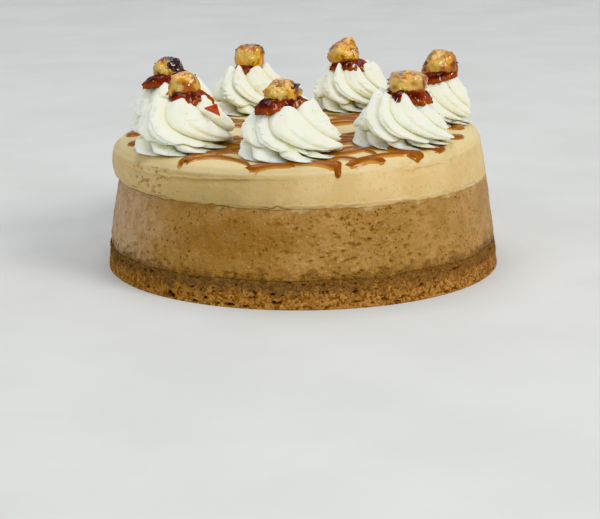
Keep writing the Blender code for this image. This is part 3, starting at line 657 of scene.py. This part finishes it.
def baked_filling(skin):
    sides = 1000 if FINE else 300
    rows = 80 if FINE else 24
    points = [(0.0, 0.0, BASE_SEAM + GAP)]
    amber = [0.0]
    grey = [0.0]
    low_mark = [0.0]
    smear = [0.0]
    wet = [0.0]
    for row in range(rows + 1):
        share = row / rows
        for angle in angles(sides):
            low = base_seam(angle) + SEAM_OVERLAP
            high = cream_seam(angle)
            height = low + (high - low) * share
            radius = wall_radius(angle, height)
            x, y = radius * math.cos(angle), radius * math.sin(angle)
            rough = 0.35 * MM * layered(x, y, height, 14.0 * MM, 3)
            crumbly = near(angle, 288.0, 26.0)
            crumbly = max(crumbly, smooth(0.45, 0.1, share + 0.3 * layered(x, y, height, 18.0 * MM, 2)))
            glint = near(angle, 285.0, 20.0)
            torn = 0.12 + 0.3 * crumbly + 0.25 * glint
            rough += torn * MM * layered(x, y, height * 1.1, 1.9 * MM, 3)
            rough -= 2.2 * torn * MM * smooth(0.36, 0.6, layered(x, y, height * 1.3, 3.2 * MM, 3))
            edge = smooth(-0.02, 0.02, share) * smooth(0.0, 0.05, 1.0 - share)
            radius += (edge * rough - 0.25 * MM * smooth(0.93, 1.0, share)
                       - 0.5 * MM * smooth(0.12, 0.0, share))
            points.append((radius * math.cos(angle), radius * math.sin(angle), height))
            cloud = 0.4 * layered(x, y, height * 1.5, 16.0 * MM, 4)
            stain = 0.6 * smooth(0.32, 0.04, share + 0.25 * layered(x, y, height, 9.0 * MM, 3))
            stained = near(angle, 250.0, 24.0) * (1.2 - 1.6 * abs(share - 0.5))
            amber.append(smooth(0.2, 1.1, max(stained, stain) + cloud))
            grey.append(smooth(0.2, 1.0, near(angle, 205.0, 22.0) + cloud))
            foot = smooth(0.16, 0.02, share + 0.14 * layered(x, y, height, 5.0 * MM, 4))
            low_mark.append(foot)
            residue = smooth(0.955, 0.985, share + 0.05 * layered(x, y, height, 5.0 * MM, 4))
            smear.append(residue * smooth(-0.1, 0.3, wander(8.0 * angle, 6.0, 0.0, 1.0)))
            wet.append(max(0.7 * amber[-1], glint))
    points.append((0.0, 0.0, CREAM_SEAM))
    amber.append(0.0)
    grey.append(0.0)
    low_mark.append(0.0)
    smear.append(0.0)
    wet.append(0.0)
    faces = stacked_faces(sides, rows + 1)
    marks = {"amber": amber, "grey": grey, "foot": low_mark, "smear": smear, "wet": wet}
    return piece("baked_filling_shown", points, faces, skin, marks, ["baked_filling"])


def wall_flakes(angle, share):
    """Broken skin on the wall's upper part: how much of it is gone, and where its lip stands out."""
    degrees = math.degrees(angle) % 360.0
    line = 0.86 - 0.1 * smooth(262.0, 222.0, degrees) + 0.04 * wander(4.0 * angle, 1.0, 0.0, 0.35)
    line += 0.03 * wander(40.0 * angle, 2.0, 0.0, 1.0)
    torn = smooth(0.35, 0.6, near(angle, 232.0, 26.0) + 0.35 * wander(9.0 * angle, 3.0, 0.0, 1.0))
    torn = max(torn, smooth(0.3, 0.6, near(angle, 310.0, 9.0) + 0.3 * wander(9.0 * angle, 5.0, 0.0, 1.0)))
    torn *= smooth(0.0, 0.02, line - share) * smooth(0.22, 0.04, line - share)
    lip = smooth(0.05, 0.0, abs(share - line - 0.03)) * smooth(0.3, 0.7, near(angle, 235.0, 34.0))
    return torn, lip


def cream_layer(skin):
    sides = 900 if FINE else 240
    wall_rows = 70 if FINE else 20
    top_steps = 38 if FINE else 24
    points = [(0.0, 0.0, CREAM_SEAM + GAP)]
    marks = {"seam": [0.0], "crack_shade": [0.0], "pocked": [0.0], "top": [0.0], "painted_shade": [0.0], "stain": [0.0]}
    for row in range(wall_rows + 1):
        share = row / wall_rows
        for angle in angles(sides):
            rim = wall_radius(angle, RIM_HEIGHT)
            low = cream_seam(angle) + SEAM_OVERLAP
            high = top_height(rim * math.cos(angle), rim * math.sin(angle))
            height = low + (high - low) * share
            radius = wall_radius(angle, height)
            x, y = radius * math.cos(angle), radius * math.sin(angle)
            pocked = near(angle, 219.0, 13.0)
            relief = (0.3 * MM * layered(x, y, height, 14.0 * MM, 3)
                      + 0.12 * MM * layered(x, y, height, 4.0 * MM, 3))
            pit = smooth(0.22, 0.5, layered(x, y, height * 1.3, 3.2 * MM, 2)) * smooth(0.5, 0.85, pocked)
            torn, lip = wall_flakes(angle, share)
            ragged = 0.075 * layered(x, y, height * 0.6, 6.0 * MM, 4)
            hem = 1.0 - smooth(0.045, 0.085, share + ragged)
            wet = smooth(-0.2, 0.4, wander(7.0 * angle, 2.0, 0.0, 1.0))
            relief += 0.5 * MM * lip - 0.55 * MM * torn - 0.8 * MM * pit - (0.2 + 0.4 * wet) * MM * hem
            relief += 0.35 * MM * smooth(0.1, 0.07, abs(share + ragged - 0.13) + 0.07)
            broken = near(angle, 318.0, 22.0) * smooth(0.8, 1.0, share)
            relief += 1.3 * MM * broken * layered(x, y, height, 5.0 * MM, 3)
            radius += relief
            points.append((radius * math.cos(angle), radius * math.sin(angle), height))
            marks["seam"].append(hem * (0.15 + 0.85 * wet))
            open_crack = smooth(-0.1, 0.2, wander(6.0 * angle, 9.0, 0.0, 1.0)) * near(angle, 245.0, 42.0)
            on_crack = smooth(0.035, 0.0, abs(share + ragged - 0.06))
            # painted shade along the crack just above the seam and in the sunken pits
            marks["crack_shade"].append(max(0.35 * pit, open_crack * on_crack))
            marks["pocked"].append(0.25 + 0.75 * pocked)
            cloud = 0.5 + 0.5 * layered(x, y, height, 16.0 * MM, 3)
            marks["stain"].append(smooth(0.05, 0.02, share + 0.06 * layered(x, y, height, 5.0 * MM, 4)))
            # painted shade: a darker band on the wall at the front left
            marks["painted_shade"].append(min(1.0, near(angle, 248.0, 22.0) * (0.35 + 0.3 * cloud + 0.3 * share ** 4)))
            # painted light: the upper edge of the wall painted paler
            marks["top"].append(smooth(0.9, 1.0, share) * 0.6)
    for step in range(1, top_steps + 1):
        share = step / top_steps
        for angle in angles(sides):
            rim = wall_radius(angle, RIM_HEIGHT)
            inner = SHOULDER * 1.6
            if share < 0.4:
                radius = rim - inner * (share / 0.4) ** 1.4
            else:
                radius = (rim - inner) * (1.0 - (share - 0.4) / 0.6 * 0.97)
            x, y = radius * math.cos(angle), radius * math.sin(angle)
            ripple = 0.25 * MM * layered(x, y, 0.0, 14.0 * MM, 3) * smooth(0.0, 0.2, share)
            broken = near(angle, 318.0, 22.0) * smooth(0.34, 0.05, share)
            ripple += 1.6 * MM * broken * max(-0.2, layered(x, y, 1.0, 4.0 * MM, 3))
            points.append((x, y, top_height(x, y) + ripple))
            marks["seam"].append(0.0)
            marks["crack_shade"].append(0.0)
            marks["pocked"].append(0.1)
            # painted shade on the top just inside the front rim
            marks["painted_shade"].append(0.6 * near(angle, 262.0, 30.0) * smooth(0.35, 0.0, share))
            marks["stain"].append(0.0)
            # painted light: the top painted paler towards its middle
            marks["top"].append(smooth(-0.4, 0.5, share))
    points.append((0.0, 0.0, top_height(0.0, 0.0)))
    for values in marks.values():
        values.append(0.0)
    faces = stacked_faces(sides, wall_rows + 1 + top_steps)
    return piece("coffee_cream_shown", points, faces, skin, marks, ["coffee_cream"])


def turns():
    """Where the poured caramel turns back, right and left of the cake, from front to back."""
    made = []
    for step in range(LINE_TURNS):
        for side, first, reach in ((1.0, RIGHT_FIRST, RIGHT_REACH), (-1.0, LEFT_FIRST, LEFT_REACH)):
            y = first + step * LINE_PITCH
            reach += REACH_SPREAD * abs(y) * max(0.0, side)
            if abs(y) < reach - 2.0:
                made.append((side * math.sqrt(reach ** 2 - y ** 2), y))
    return made


def strokes():
    """Start, end and bow of every stroke: to and fro in pairs that cross, with more at the front."""
    ends = turns()
    made = list(FRONT_STROKES)
    for place in range(len(ends) - 1):
        made.append((ends[place], ends[place + 1], -LINE_BOW if place % 2 else LINE_BOW))
    return made


def line_point(stroke, share):
    """A point on one stroke, with its bow and the swing of the hand that poured it."""
    start, end, bow = stroke
    x = (start[0] + (end[0] - start[0]) * share) * MM
    y = (start[1] + (end[1] - start[1]) * share) * MM
    swing = LINE_SWING * math.cos(2.0 * math.pi * (x - SWING_CREST) / SWING_LENGTH + 0.1 * start[1])
    loose = smooth(0.0, 0.12, share) * smooth(0.0, 0.12, 1.0 - share)
    loose *= smooth(STEADY_LENGTH, LOOSE_LENGTH, math.hypot(end[0] - start[0], end[1] - start[1]))
    y += (swing + LINE_WOBBLE * wander(x, start[1] * MM, 0.2, 0.05)) * loose
    y += bow * MM * math.sin(math.pi * share)
    rim = wall_radius(math.atan2(y, x), RIM_HEIGHT) - RIM_KEEP
    inside = min(1.0, rim / math.hypot(x, y))
    return x * inside, y * inside


def on_cream(x, y, rise):
    """A point this far off the cream's skin, which runs over the rim and down the wall."""
    angle = math.atan2(y, x)
    far = math.hypot(x, y)
    rim = wall_radius(angle, RIM_HEIGHT)
    out = Vector((math.cos(angle), math.sin(angle), 0.0))
    over = smooth(rim - 3.0 * MM, rim + 0.5 * MM, far)
    inside = out * min(far, rim)
    height = top_height(inside.x, inside.y) - max(0.0, far - rim)
    radius = far if far < rim else wall_radius(angle, height)
    return out * (radius + over * rise) + Vector((0.0, 0.0, height + (1.0 - over) * rise))


def caramel_lines(skin):
    """Caramel poured to and fro: a thick core in a thin film, with fat turns near the rim."""
    sections = 21
    points = []
    faces = []
    thick = []
    for stroke in strokes():
        length = math.hypot(stroke[1][0] - stroke[0][0], stroke[1][1] - stroke[0][1]) * MM
        steps = max(6, int(length / (1.2 * MM if FINE else 4.0 * MM)))
        base = len(points)
        for step in range(steps + 1):
            share = step / steps
            x, y = line_point(stroke, share)
            ahead = line_point(stroke, min(1.0, share + 0.01))
            behind = line_point(stroke, max(0.0, share - 0.01))
            run = Vector((ahead[0] - behind[0], ahead[1] - behind[1])).normalized()
            tip = min(share, 1.0 - share) * length
            width = LINE_HALF_WIDTH * (1.0 + 0.45 * wander(x, y, 0.7, 0.018))
            width *= math.sqrt(smooth(-1.0 * MM, 4.0 * MM, tip)) + 0.02
            if length < SHORT_STROKE:
                width *= 0.3 + 0.5 * math.sin(math.pi * share)
            rise = LINE_RISE * (1.0 + 0.4 * wander(x, y, 0.9, 0.03)) * smooth(-1.0 * MM, 3.0 * MM, tip)
            drift = 0.35 * wander(x, y, 1.7, 0.03)
            for section in range(sections):
                across = 2.0 * section / (sections - 1) - 1.0
                px = x - run.y * across * width
                py = y + run.x * across * width
                film = 0.22 * (1.0 - across ** 6)
                core = max(0.0, 1.0 - ((across - 0.5 * drift) / 0.8) ** 2) ** 0.7
                points.append(on_cream(px, py, rise * (film + 0.78 * core) - 0.12 * MM))
                thick.append(smooth(0.15, 0.8, core))
        for step in range(steps):
            for section in range(sections - 1):
                here = base + step * sections + section
                faces.append((here, here + 1, here + 1 + sections, here + sections))
    places = [(x * MM, y * MM, 1.0) for x, y in turns()]
    places.append((60.0 * MM, -80.0 * MM, 0.9))
    rings = 12
    sides = 40
    for x, y, size in places:
        base = len(points)
        out = math.atan2(y, x)
        points.append(on_cream(x, y, TURN_RISE * size))
        thick.append(1.0)
        for ring in range(1, rings + 1):
            share = ring / rings
            for angle in angles(sides):
                uneven = 1.0 + 0.25 * wander(math.cos(angle), math.sin(angle), x + y, 0.9)
                along = share * TURN_RADIUS * size * uneven * TURN_STRETCH * math.cos(angle)
                side = share * TURN_RADIUS * size * uneven * math.sin(angle)
                px = x + along * math.cos(out) - side * math.sin(out)
                py = y + along * math.sin(out) + side * math.cos(out)
                swell = (1.0 - share ** 2) ** 0.5
                points.append(on_cream(px, py, TURN_RISE * size * swell - 0.12 * MM))
                thick.append(smooth(0.1, 0.6, swell))
        for side in range(sides):
            after = (side + 1) % sides
            faces.append((base, base + 1 + side, base + 1 + after))
            for ring in range(rings - 1):
                here = base + 1 + ring * sides
                faces.append((here + side, here + sides + side, here + sides + after, here + after))
    return piece("caramel_lines", points, faces, skin, {"thick": thick})


def rim_drip(skin):
    """Drop of caramel that ran over the front rim and hangs on the wall."""
    angle = math.atan2(DRIP[1], DRIP[0])
    out = Vector((math.cos(angle), math.sin(angle), 0.0))
    side = Vector((-math.sin(angle), math.cos(angle), 0.0))
    rings = 24
    sides = 24
    points = []
    for ring in range(rings + 1):
        share = ring / rings
        run = out * (math.hypot(*DRIP) * MM + DRIP_LENGTH * share)
        blunt = math.sqrt(max(0.0, 1.0 - (2.0 * share - 1.0) ** 8)) + 0.02
        for turn in angles(sides):
            width = (3.4 - 2.4 * share) * MM * blunt * math.cos(turn)
            points.append(on_cream(run.x, run.y, 1.5 * MM * blunt * math.sin(turn)) + side * width)
    faces = []
    for ring in range(rings):
        for turn in range(sides):
            here = ring * sides
            after = (turn + 1) % sides
            faces.append((here + turn, here + after, here + sides + after, here + sides + turn))
    faces.append(tuple(range(sides))[::-1])
    faces.append(tuple(rings * sides + turn for turn in range(sides)))
    return piece("rim_drip", points, faces, skin, {"thick": [1.0] * len(points)})


def fold_shape(place, crest):
    """Across one fold: a sharp crease, a full round rope, and the next crease."""
    even = min(1.0, max(0.0, place)) ** (math.log(0.5) / math.log(crest))
    return math.sin(math.pi * even) ** 0.55


def fold_table(rng, count):
    """Uneven folds round a rosette: start, width, depth, fullness and place of the crest.

    The first is a narrow roll and the second a broad face, as the piping hand left them.
    """
    widths = [0.72, 1.35] + [rng.uniform(0.75, 1.2) for fold in range(count - 2)]
    crests = [0.45, 0.6] + [rng.uniform(0.4, 0.6) for fold in range(count - 2)]
    whole = 2.0 * math.pi / sum(widths)
    starts = [sum(widths[:fold]) * whole for fold in range(count)]
    return [(starts[fold], widths[fold] * whole, rng.uniform(0.75, 1.2), rng.uniform(-0.06, 0.06),
             crests[fold]) for fold in range(count)]


def fold_at(table, angle):
    """The fold an angle falls in, and the place across it."""
    angle %= 2.0 * math.pi
    for number in range(len(table) - 1, -1, -1):
        if angle >= table[number][0]:
            return number, (angle - table[number][0]) / table[number][1]
    return 0, 0.0


def fold_turn(level):
    """How far the folds have turned at a level: little near the top, much near the foot."""
    return -FOLD_RATE * math.log((max(level, FOLD_LOW) - FOLD_END) / (FOLD_LOW - FOLD_END))


def foot_turn(level):
    return -FOOT_RATE * level + FOOT_SWEEP * max(0.0, 1.0 - level / FOOT_LEVEL) ** 2


def tier_level(angle):
    """Level of the seam between the lower and the upper tier, falling round the rosette."""
    whirl = (angle - math.radians(TIER_ANGLE)) / (2.0 * math.pi) % 1.0
    wave = 0.035 * math.sin(7.0 * angle) + 0.02 * math.sin(11.0 * angle)
    return TIER_TOP + wave - TIER_FALL * min(1.0, whirl / 0.42) * (1.0 - smooth(0.85, 1.0, whirl))


def rosette_profile(level):
    foot = 0.92 + 0.08 * math.sin(0.5 * math.pi * min(1.0, level / 0.1))
    return foot - (1.0 - ROSETTE_CROWN) * level ** 3.4


def rosette(number, skin):
    """Piped cream in two tiers: folds that turn as they rise, uneven, with swept feet."""
    x, y, radius, tall = (value * MM for value in ROSETTES[number][:4])
    rng = random.Random(100 + number)
    upper = fold_table(rng, FOLD_COUNTS[number])
    lower = fold_table(rng, FEET)
    crest_angle = upper[0][1] * upper[0][4]
    first = math.radians(ROSETTES[number][4]) - crest_angle - fold_turn(1.0)
    count = 400 if FINE else 120
    rows = 130 if FINE else 44
    points = [(x, y, crown_height(x, y) + GAP)]
    fold = [1.0]
    for row in range(rows + 1):
        level = row / rows
        turned = fold_turn(level)
        swept = foot_turn(level)
        mesh_turn = fold_turn(max(level, 0.3))
        for angle in angles(count):
            angle += mesh_turn + first
            tier = tier_level(angle)
            over = smooth(tier - 0.03, tier + 0.02, level)
            which, place = fold_at(upper, angle - turned - first)
            crest = fold_shape(place, upper[which][4])
            depth = FOLD_DEPTH * upper[which][2] * (1.0 - 0.2 * level)
            full = 1.0 + upper[which][3] + 0.1 * wander(math.cos(angle), math.sin(angle), first + level, 0.6)
            share = rosette_profile(level) * full * (1.0 - depth * (1.0 - crest))
            lip = math.exp(-((level - tier - 0.05) / 0.05) ** 2)
            under = smooth(tier + 0.12, tier - 0.02, level)
            share -= 0.07 * under
            edge = crest
            if over < 1.0:
                foot, spot = fold_at(lower, angle - swept - first)
                edge = fold_shape(spot, lower[foot][4])
                depth = 1.8 * FOLD_DEPTH * lower[foot][2]
                reach = 0.97 - 0.25 * max(0.0, level - 0.1) + lower[foot][3]
                reach += 0.05 * spot * max(0.0, 1.0 - level / FOOT_LEVEL) ** 2 * lower[foot][2]
                low = reach * (1.0 - depth * (1.0 - edge))
                low *= 0.9 + 0.1 * math.sin(0.5 * math.pi * min(1.0, level / 0.06))
                share = low + (share - low) * over
                edge += (crest - edge) * over
            seam = math.exp(-((level - tier + 0.015) / 0.03) ** 2)
            share -= TIER_DEPTH * seam * smooth(0.0, 0.1, level)
            bend = wander(math.cos(angle) * radius, math.sin(angle) * radius, (level + number) * tall,
                          7.0 * MM)
            share += 0.05 * bend * smooth(0.0, 0.1, level)
            streak = wander(place * 12.0 + which * 9.0, first, level * 1.2, 1.0)
            torn = wander(which * 3.0 + place * 3.0, first, level * 22.0, 1.0) * edge ** 5
            ragged = smooth(0.0, 0.4, wander(which * 2.3, first, level * 3.0, 1.0))
            minor = math.exp(-((place - 0.42) / 0.07) ** 2) * smooth(0.95, 0.6, level)
            share -= 0.05 * minor * smooth(tier, tier + 0.1, level)
            share += 0.01 * streak + 0.055 * torn * ragged
            lean = 0.05 * edge ** 2
            px = x + radius * share * math.cos(angle + lean)
            py = y + radius * share * math.sin(angle + lean)
            droop = 0.06 * edge * math.sin(math.pi * level) + 0.02 * lip * edge
            peak = 0.13 * crest ** 3 * smooth(0.8, 1.0, level) * upper[which][2]
            lift = max(0.0, level - droop * smooth(0.0, 0.1, level) + peak)
            points.append((px, py, crown_height(px, py) + GAP + tall * lift))
            # mark for the painted shade: strongest in the creases between folds and in the seam between the
            # tiers
            fold.append(min(1.0, 0.9 * (1.0 - edge) ** 3 + 0.6 * seam))
    rise = crown_height(x, y) + GAP + tall
    for inner in (0.66, 0.33):
        for angle in angles(count):
            angle += fold_turn(1.0) + first
            which, place = fold_at(upper, angle - fold_turn(1.0) - first)
            crest = fold_shape(place, upper[which][4])
            share = inner * ROSETTE_CROWN * (1.0 - 0.12 * (1.0 - crest))
            px = x + radius * share * math.cos(angle)
            py = y + radius * share * math.sin(angle)
            points.append((px, py, rise + 0.6 * MM * crest))
            # the crown gets an even share of the painted shade
            fold.append(0.5)
    points.append((x, y, rise))
    fold.append(0.3)
    faces = stacked_faces(count, rows + 3)
    name = "rosette_%d" % (number + 1)
    return piece(name + "_shown", points, faces, skin, {"fold": fold}, [name])


def nut_ball(number, skin):
    """A hazelnut in its caramel: lumpy, streaked, scorched on one side, with points drawn out."""
    x, y = (value * MM for value in ROSETTES[number][:2])
    dx, dy, middle, wide, tall = (value * MM for value in NUTS[number][:5])
    square, burnt, size = NUTS[number][5:]
    centre = Vector((x + dx, y + dy, crown_height(x, y) + GAP + middle))
    side = direction(burnt, 28.0)
    rng = random.Random(300 + number)
    peaks = [(direction(turn, lift), height, width)
             for nut, turn, lift, height, width in PEAKS if nut == number]
    peaks += [(direction(rng.uniform(0.0, 360.0), rng.uniform(-10.0, 40.0)), rng.uniform(0.05, 0.15), 0.06)
              for count in range(18)]
    work = bmesh.new()
    bmesh.ops.create_icosphere(work, subdivisions=6 if FINE else 4, radius=1.0)
    scorch = []
    red = []
    pale = []
    shift = Vector((number * 5.3, 0.0, 0.0))
    for vertex in work.verts:
        way = vertex.co.copy()
        block = (abs(way.x) ** 5 + abs(way.y) ** 5 + abs(way.z) ** 5) ** -0.2
        lump = 1.0 + square * 0.6 * (block - 1.0) + 0.12 * noise.noise(way * 1.4 + shift)
        lump += 0.03 * noise.fractal(way * 3.0 + shift, 1.0, 2.0, 2)
        drape = Vector((way.x * 6.0, way.y * 6.0, way.z * 1.6))
        lump += 0.05 * noise.noise(drape + shift)
        for tip, height, width in peaks:
            lump += height * math.exp(-((way - tip).length / width) ** 2)
        vertex.co = centre + Vector((way.x * wide, way.y * wide, way.z * tall)) * lump
        vertex.co.z = min(vertex.co.z, cad_box[1][2] - 0.1 * MM)
        patch = way.dot(side) + 0.5 * noise.fractal(way * 2.6 + shift, 0.9, 2.0, 3)
        scorch.append(smooth(1.0 - size, 1.15 - size, patch) * smooth(0.0, 0.1, size))
        red.append(smooth(0.15, 0.7, -way.z + 0.6 * noise.noise(way * 2.4 + shift)))
        # painted sheen: the side facing the front and upper left painted pale straw, in uneven patches
        front = -0.8 * way.y - 0.3 * way.x + 0.15 * way.z + 0.6 * noise.noise(way * 1.8 + 3.0 * shift)
        pale.append(smooth(0.55, 0.95, front))
    faces = [[vertex.index for vertex in face.verts] for face in work.faces]
    points = [vertex.co.copy() for vertex in work.verts]
    work.free()
    name = "hazelnut_%d" % (number + 1)
    marks = {"scorch": scorch, "red": red, "pale": pale}
    return piece(name + "_shown", points, faces, skin, marks, [name])


def nut_skirt(number, skin):
    """Burnt caramel set round the foot of a nut: thick, ragged at its edge, bubbled."""
    x, y = (value * MM for value in ROSETTES[number][:2])
    sx, sy, length, width, low = (value * MM for value in SKIRTS[number][:5])
    slope = SKIRTS[number][5]
    thick = SKIRTS[number][6] * MM
    cx, cy = x + sx, y + sy
    cz = crown_height(x, y) + GAP + low
    sides = 260 if FINE else 80
    outline = ((0.35, -0.5), (0.75, -0.5), (0.9, -0.47), (0.98, -0.38), (1.0, -0.25), (0.98, -0.1),
               (0.93, 0.05), (0.86, 0.2), (0.78, 0.33), (0.68, 0.43), (0.56, 0.5), (0.42, 0.55),
               (0.25, 0.58))
    points = [(cx, cy, cz - 0.5 * thick)]
    thin = [0.0]
    amber = [0.0]
    for share, rise in outline:
        for angle in angles(sides):
            way = Vector((math.cos(angle), math.sin(angle), number * 3.1))
            ragged = 1.0 + 0.28 * noise.noise(way * 1.7)
            frill = 0.12 * noise.fractal(Vector((way.x * 3.5, way.y * 3.5, way.z + rise * 2.0)), 0.8, 2.2, 4)
            spike = noise.noise(way * 7.0 + Vector((0.0, 0.0, rise * 5.0)))
            tooth = 0.1 * max(0.0, spike) * smooth(0.8, 1.0, share)
            reach = share * (ragged + frill * share) + tooth
            tongue = noise.noise(way * 2.6)
            sag = -thick * (0.1 + SKIRT_SAG * smooth(-0.1, 0.5, tongue)) * share ** 2
            px = cx + reach * length * math.cos(angle)
            py = cy + reach * width * math.sin(angle)
            here = Vector((px, py, rise * thick))
            bubble = 0.1 * thick * noise.fractal(here / (2.6 * MM), 0.9, 2.0, 3)
            points.append((px, py, cz + rise * thick + sag + bubble + slope * (px - cx)))
            edge = smooth(0.85, 1.0, share) + 0.6 * noise.noise(here / (6.0 * MM))
            thin.append(smooth(0.45, 1.0, edge))
            golden = 0.3 * math.cos(angle - 0.3) + noise.noise(here / (7.0 * MM) + shift_of(number))
            amber.append(smooth(0.1, 0.5, golden))
    points.append((cx, cy, cz + 0.6 * thick))
    thin.append(0.0)
    amber.append(0.0)
    faces = stacked_faces(sides, len(outline))
    name = "caramel_pool_%d" % (number + 1)
    return piece(name, points, faces, skin, {"thin": thin, "amber": amber})


def shift_of(number):
    """Shift of the noise that keeps one nut's caramel from repeating the next one's."""
    return Vector((0.0, number * 7.7, number * 2.9))


def direction(turn, lift):
    """Unit vector from an angle round the upright and a lift, both in degrees."""
    level = math.cos(math.radians(lift))
    return Vector((level * math.cos(math.radians(turn)), level * math.sin(math.radians(turn)),
                   math.sin(math.radians(lift))))


def shard(skin):
    """Small flat triangle of clear caramel with its edges eased."""
    corners = [Vector(corner) * MM for corner in SHARD]
    facing = (corners[1] - corners[0]).cross(corners[2] - corners[0]).normalized()
    work = bmesh.new()
    low = [work.verts.new(corner - facing * 0.5 * SHARD_THICK) for corner in corners]
    high = [work.verts.new(corner + facing * 0.5 * SHARD_THICK) for corner in corners]
    work.faces.new(low[::-1])
    work.faces.new(high)
    for side in range(3):
        after = (side + 1) % 3
        work.faces.new((low[side], low[after], high[after], high[side]))
    bmesh.ops.bevel(work, geom=list(work.edges), offset=0.3 * MM, segments=2, affect="EDGES")
    work.verts.index_update()
    points = [vertex.co.copy() for vertex in work.verts]
    faces = [[vertex.index for vertex in face.verts] for face in work.faces]
    work.free()
    made = piece("caramel_shard_shown", points, faces, skin, None, ["caramel_shard"])
    made.data.shade_flat()
    return made


def floor_and_backdrop():
    """Pale cloth that runs level under the cake and curves up behind it."""
    data = bpy.data.meshes.new("pale_floor")
    reach = 4.0
    curve = [(-3.0, 0.0), (2.2, 0.0)]
    curve += [(2.2 + 0.8 * math.sin(turn), 0.8 - 0.8 * math.cos(turn)) for turn in (0.3, 0.6, 0.9, 1.2, 1.57)]
    curve.append((3.0, 4.0))
    points = [(side * reach, y, z) for y, z in curve for side in (-1.0, 1.0)]
    faces = [(2 * row, 2 * row + 1, 2 * row + 3, 2 * row + 2) for row in range(len(curve) - 1)]
    data.from_pydata(points, [], faces)
    data.shade_smooth()
    made, tree, shader, where = start_material("pale cloth backdrop", {"Roughness": 0.9})
    tone = blend(tree, band(tree, grain(tree, where, 0.01, 4.0), 0.3, 0.7), rgb("#cfd0cd"), rgb("#d5d6d4"))
    tree.links.new(tone, shader.inputs["Base Color"])
    data.materials.append(made)
    floor = bpy.data.objects.new("pale_floor", data)
    bpy.context.scene.collection.objects.link(floor)


def lamp(name, place, target, size, power, colour):
    data = bpy.data.lights.new(name, "AREA")
    data.shape = "DISK"
    data.size = size
    data.energy = power
    data.color = rgb(colour)[:3]
    made = bpy.data.objects.new(name, data)
    made.location = place
    made.rotation_euler = (Vector(target) - Vector(place)).to_track_quat("-Z", "Y").to_euler()
    bpy.context.scene.collection.objects.link(made)


def light_and_camera():
    """Soft daylight from the right, and the camera that gives the photograph's view."""
    world = bpy.data.worlds.new("soft room light")
    world.use_nodes = True
    world.node_tree.nodes["Background"].inputs["Color"].default_value = rgb("#e4e9f0")
    world.node_tree.nodes["Background"].inputs["Strength"].default_value = 0.6
    bpy.context.scene.world = world
    middle = (0.0, 0.0, 0.06)
    lamp("window from the right", (2.4, -2.0, 2.2), middle, 1.7, 76.0, "#fffaf2")
    lamp("overhead", (-0.3, 0.4, 3.2), middle, 2.6, 38.0, "#ffffff")
    lamp("fill from the left", (-2.6, -2.4, 1.2), middle, 2.4, 18.0, "#f4f7ff")
    lamp("small bright lamp", (0.3, -1.3, 1.0), middle, 0.07, GLINT_POWER, "#ffffff")
    data = bpy.data.cameras.new("camera")
    data.sensor_width = 36.0
    data.lens = FOCAL_PIXELS / IMAGE_WIDTH * 36.0
    made = bpy.data.objects.new("camera", data)
    look = Matrix.Rotation(0.5 * math.pi - CAMERA_TILT, 4, "X") @ Matrix.Rotation(CAMERA_ROLL, 4, "Z")
    made.matrix_world = Matrix.Translation((CAMERA_SHIFT, -CAMERA_BACK, CAMERA_HEIGHT)) @ look
    bpy.context.scene.collection.objects.link(made)
    bpy.context.scene.camera = made


def dress():
    """Every visible piece of the cake, from the base up."""
    crumb = crumb_material()
    crumb_base(crumb)
    loose_crumbs(crumb)
    baked_filling(baked_material())
    cream_layer(coffee_cream_material())
    caramel = caramel_material()
    caramel_lines(caramel)
    rim_drip(caramel)
    whipped = whipped_cream_material()
    nut = nut_material()
    pool = skirt_material()
    for number in range(len(ROSETTES)):
        rosette(number, whipped)
        nut_ball(number, nut)
        nut_skirt(number, pool)
    shard(shard_material())


bpy.context.scene.view_settings.view_transform = "Khronos PBR Neutral"
floor_and_backdrop()
light_and_camera()
dress()
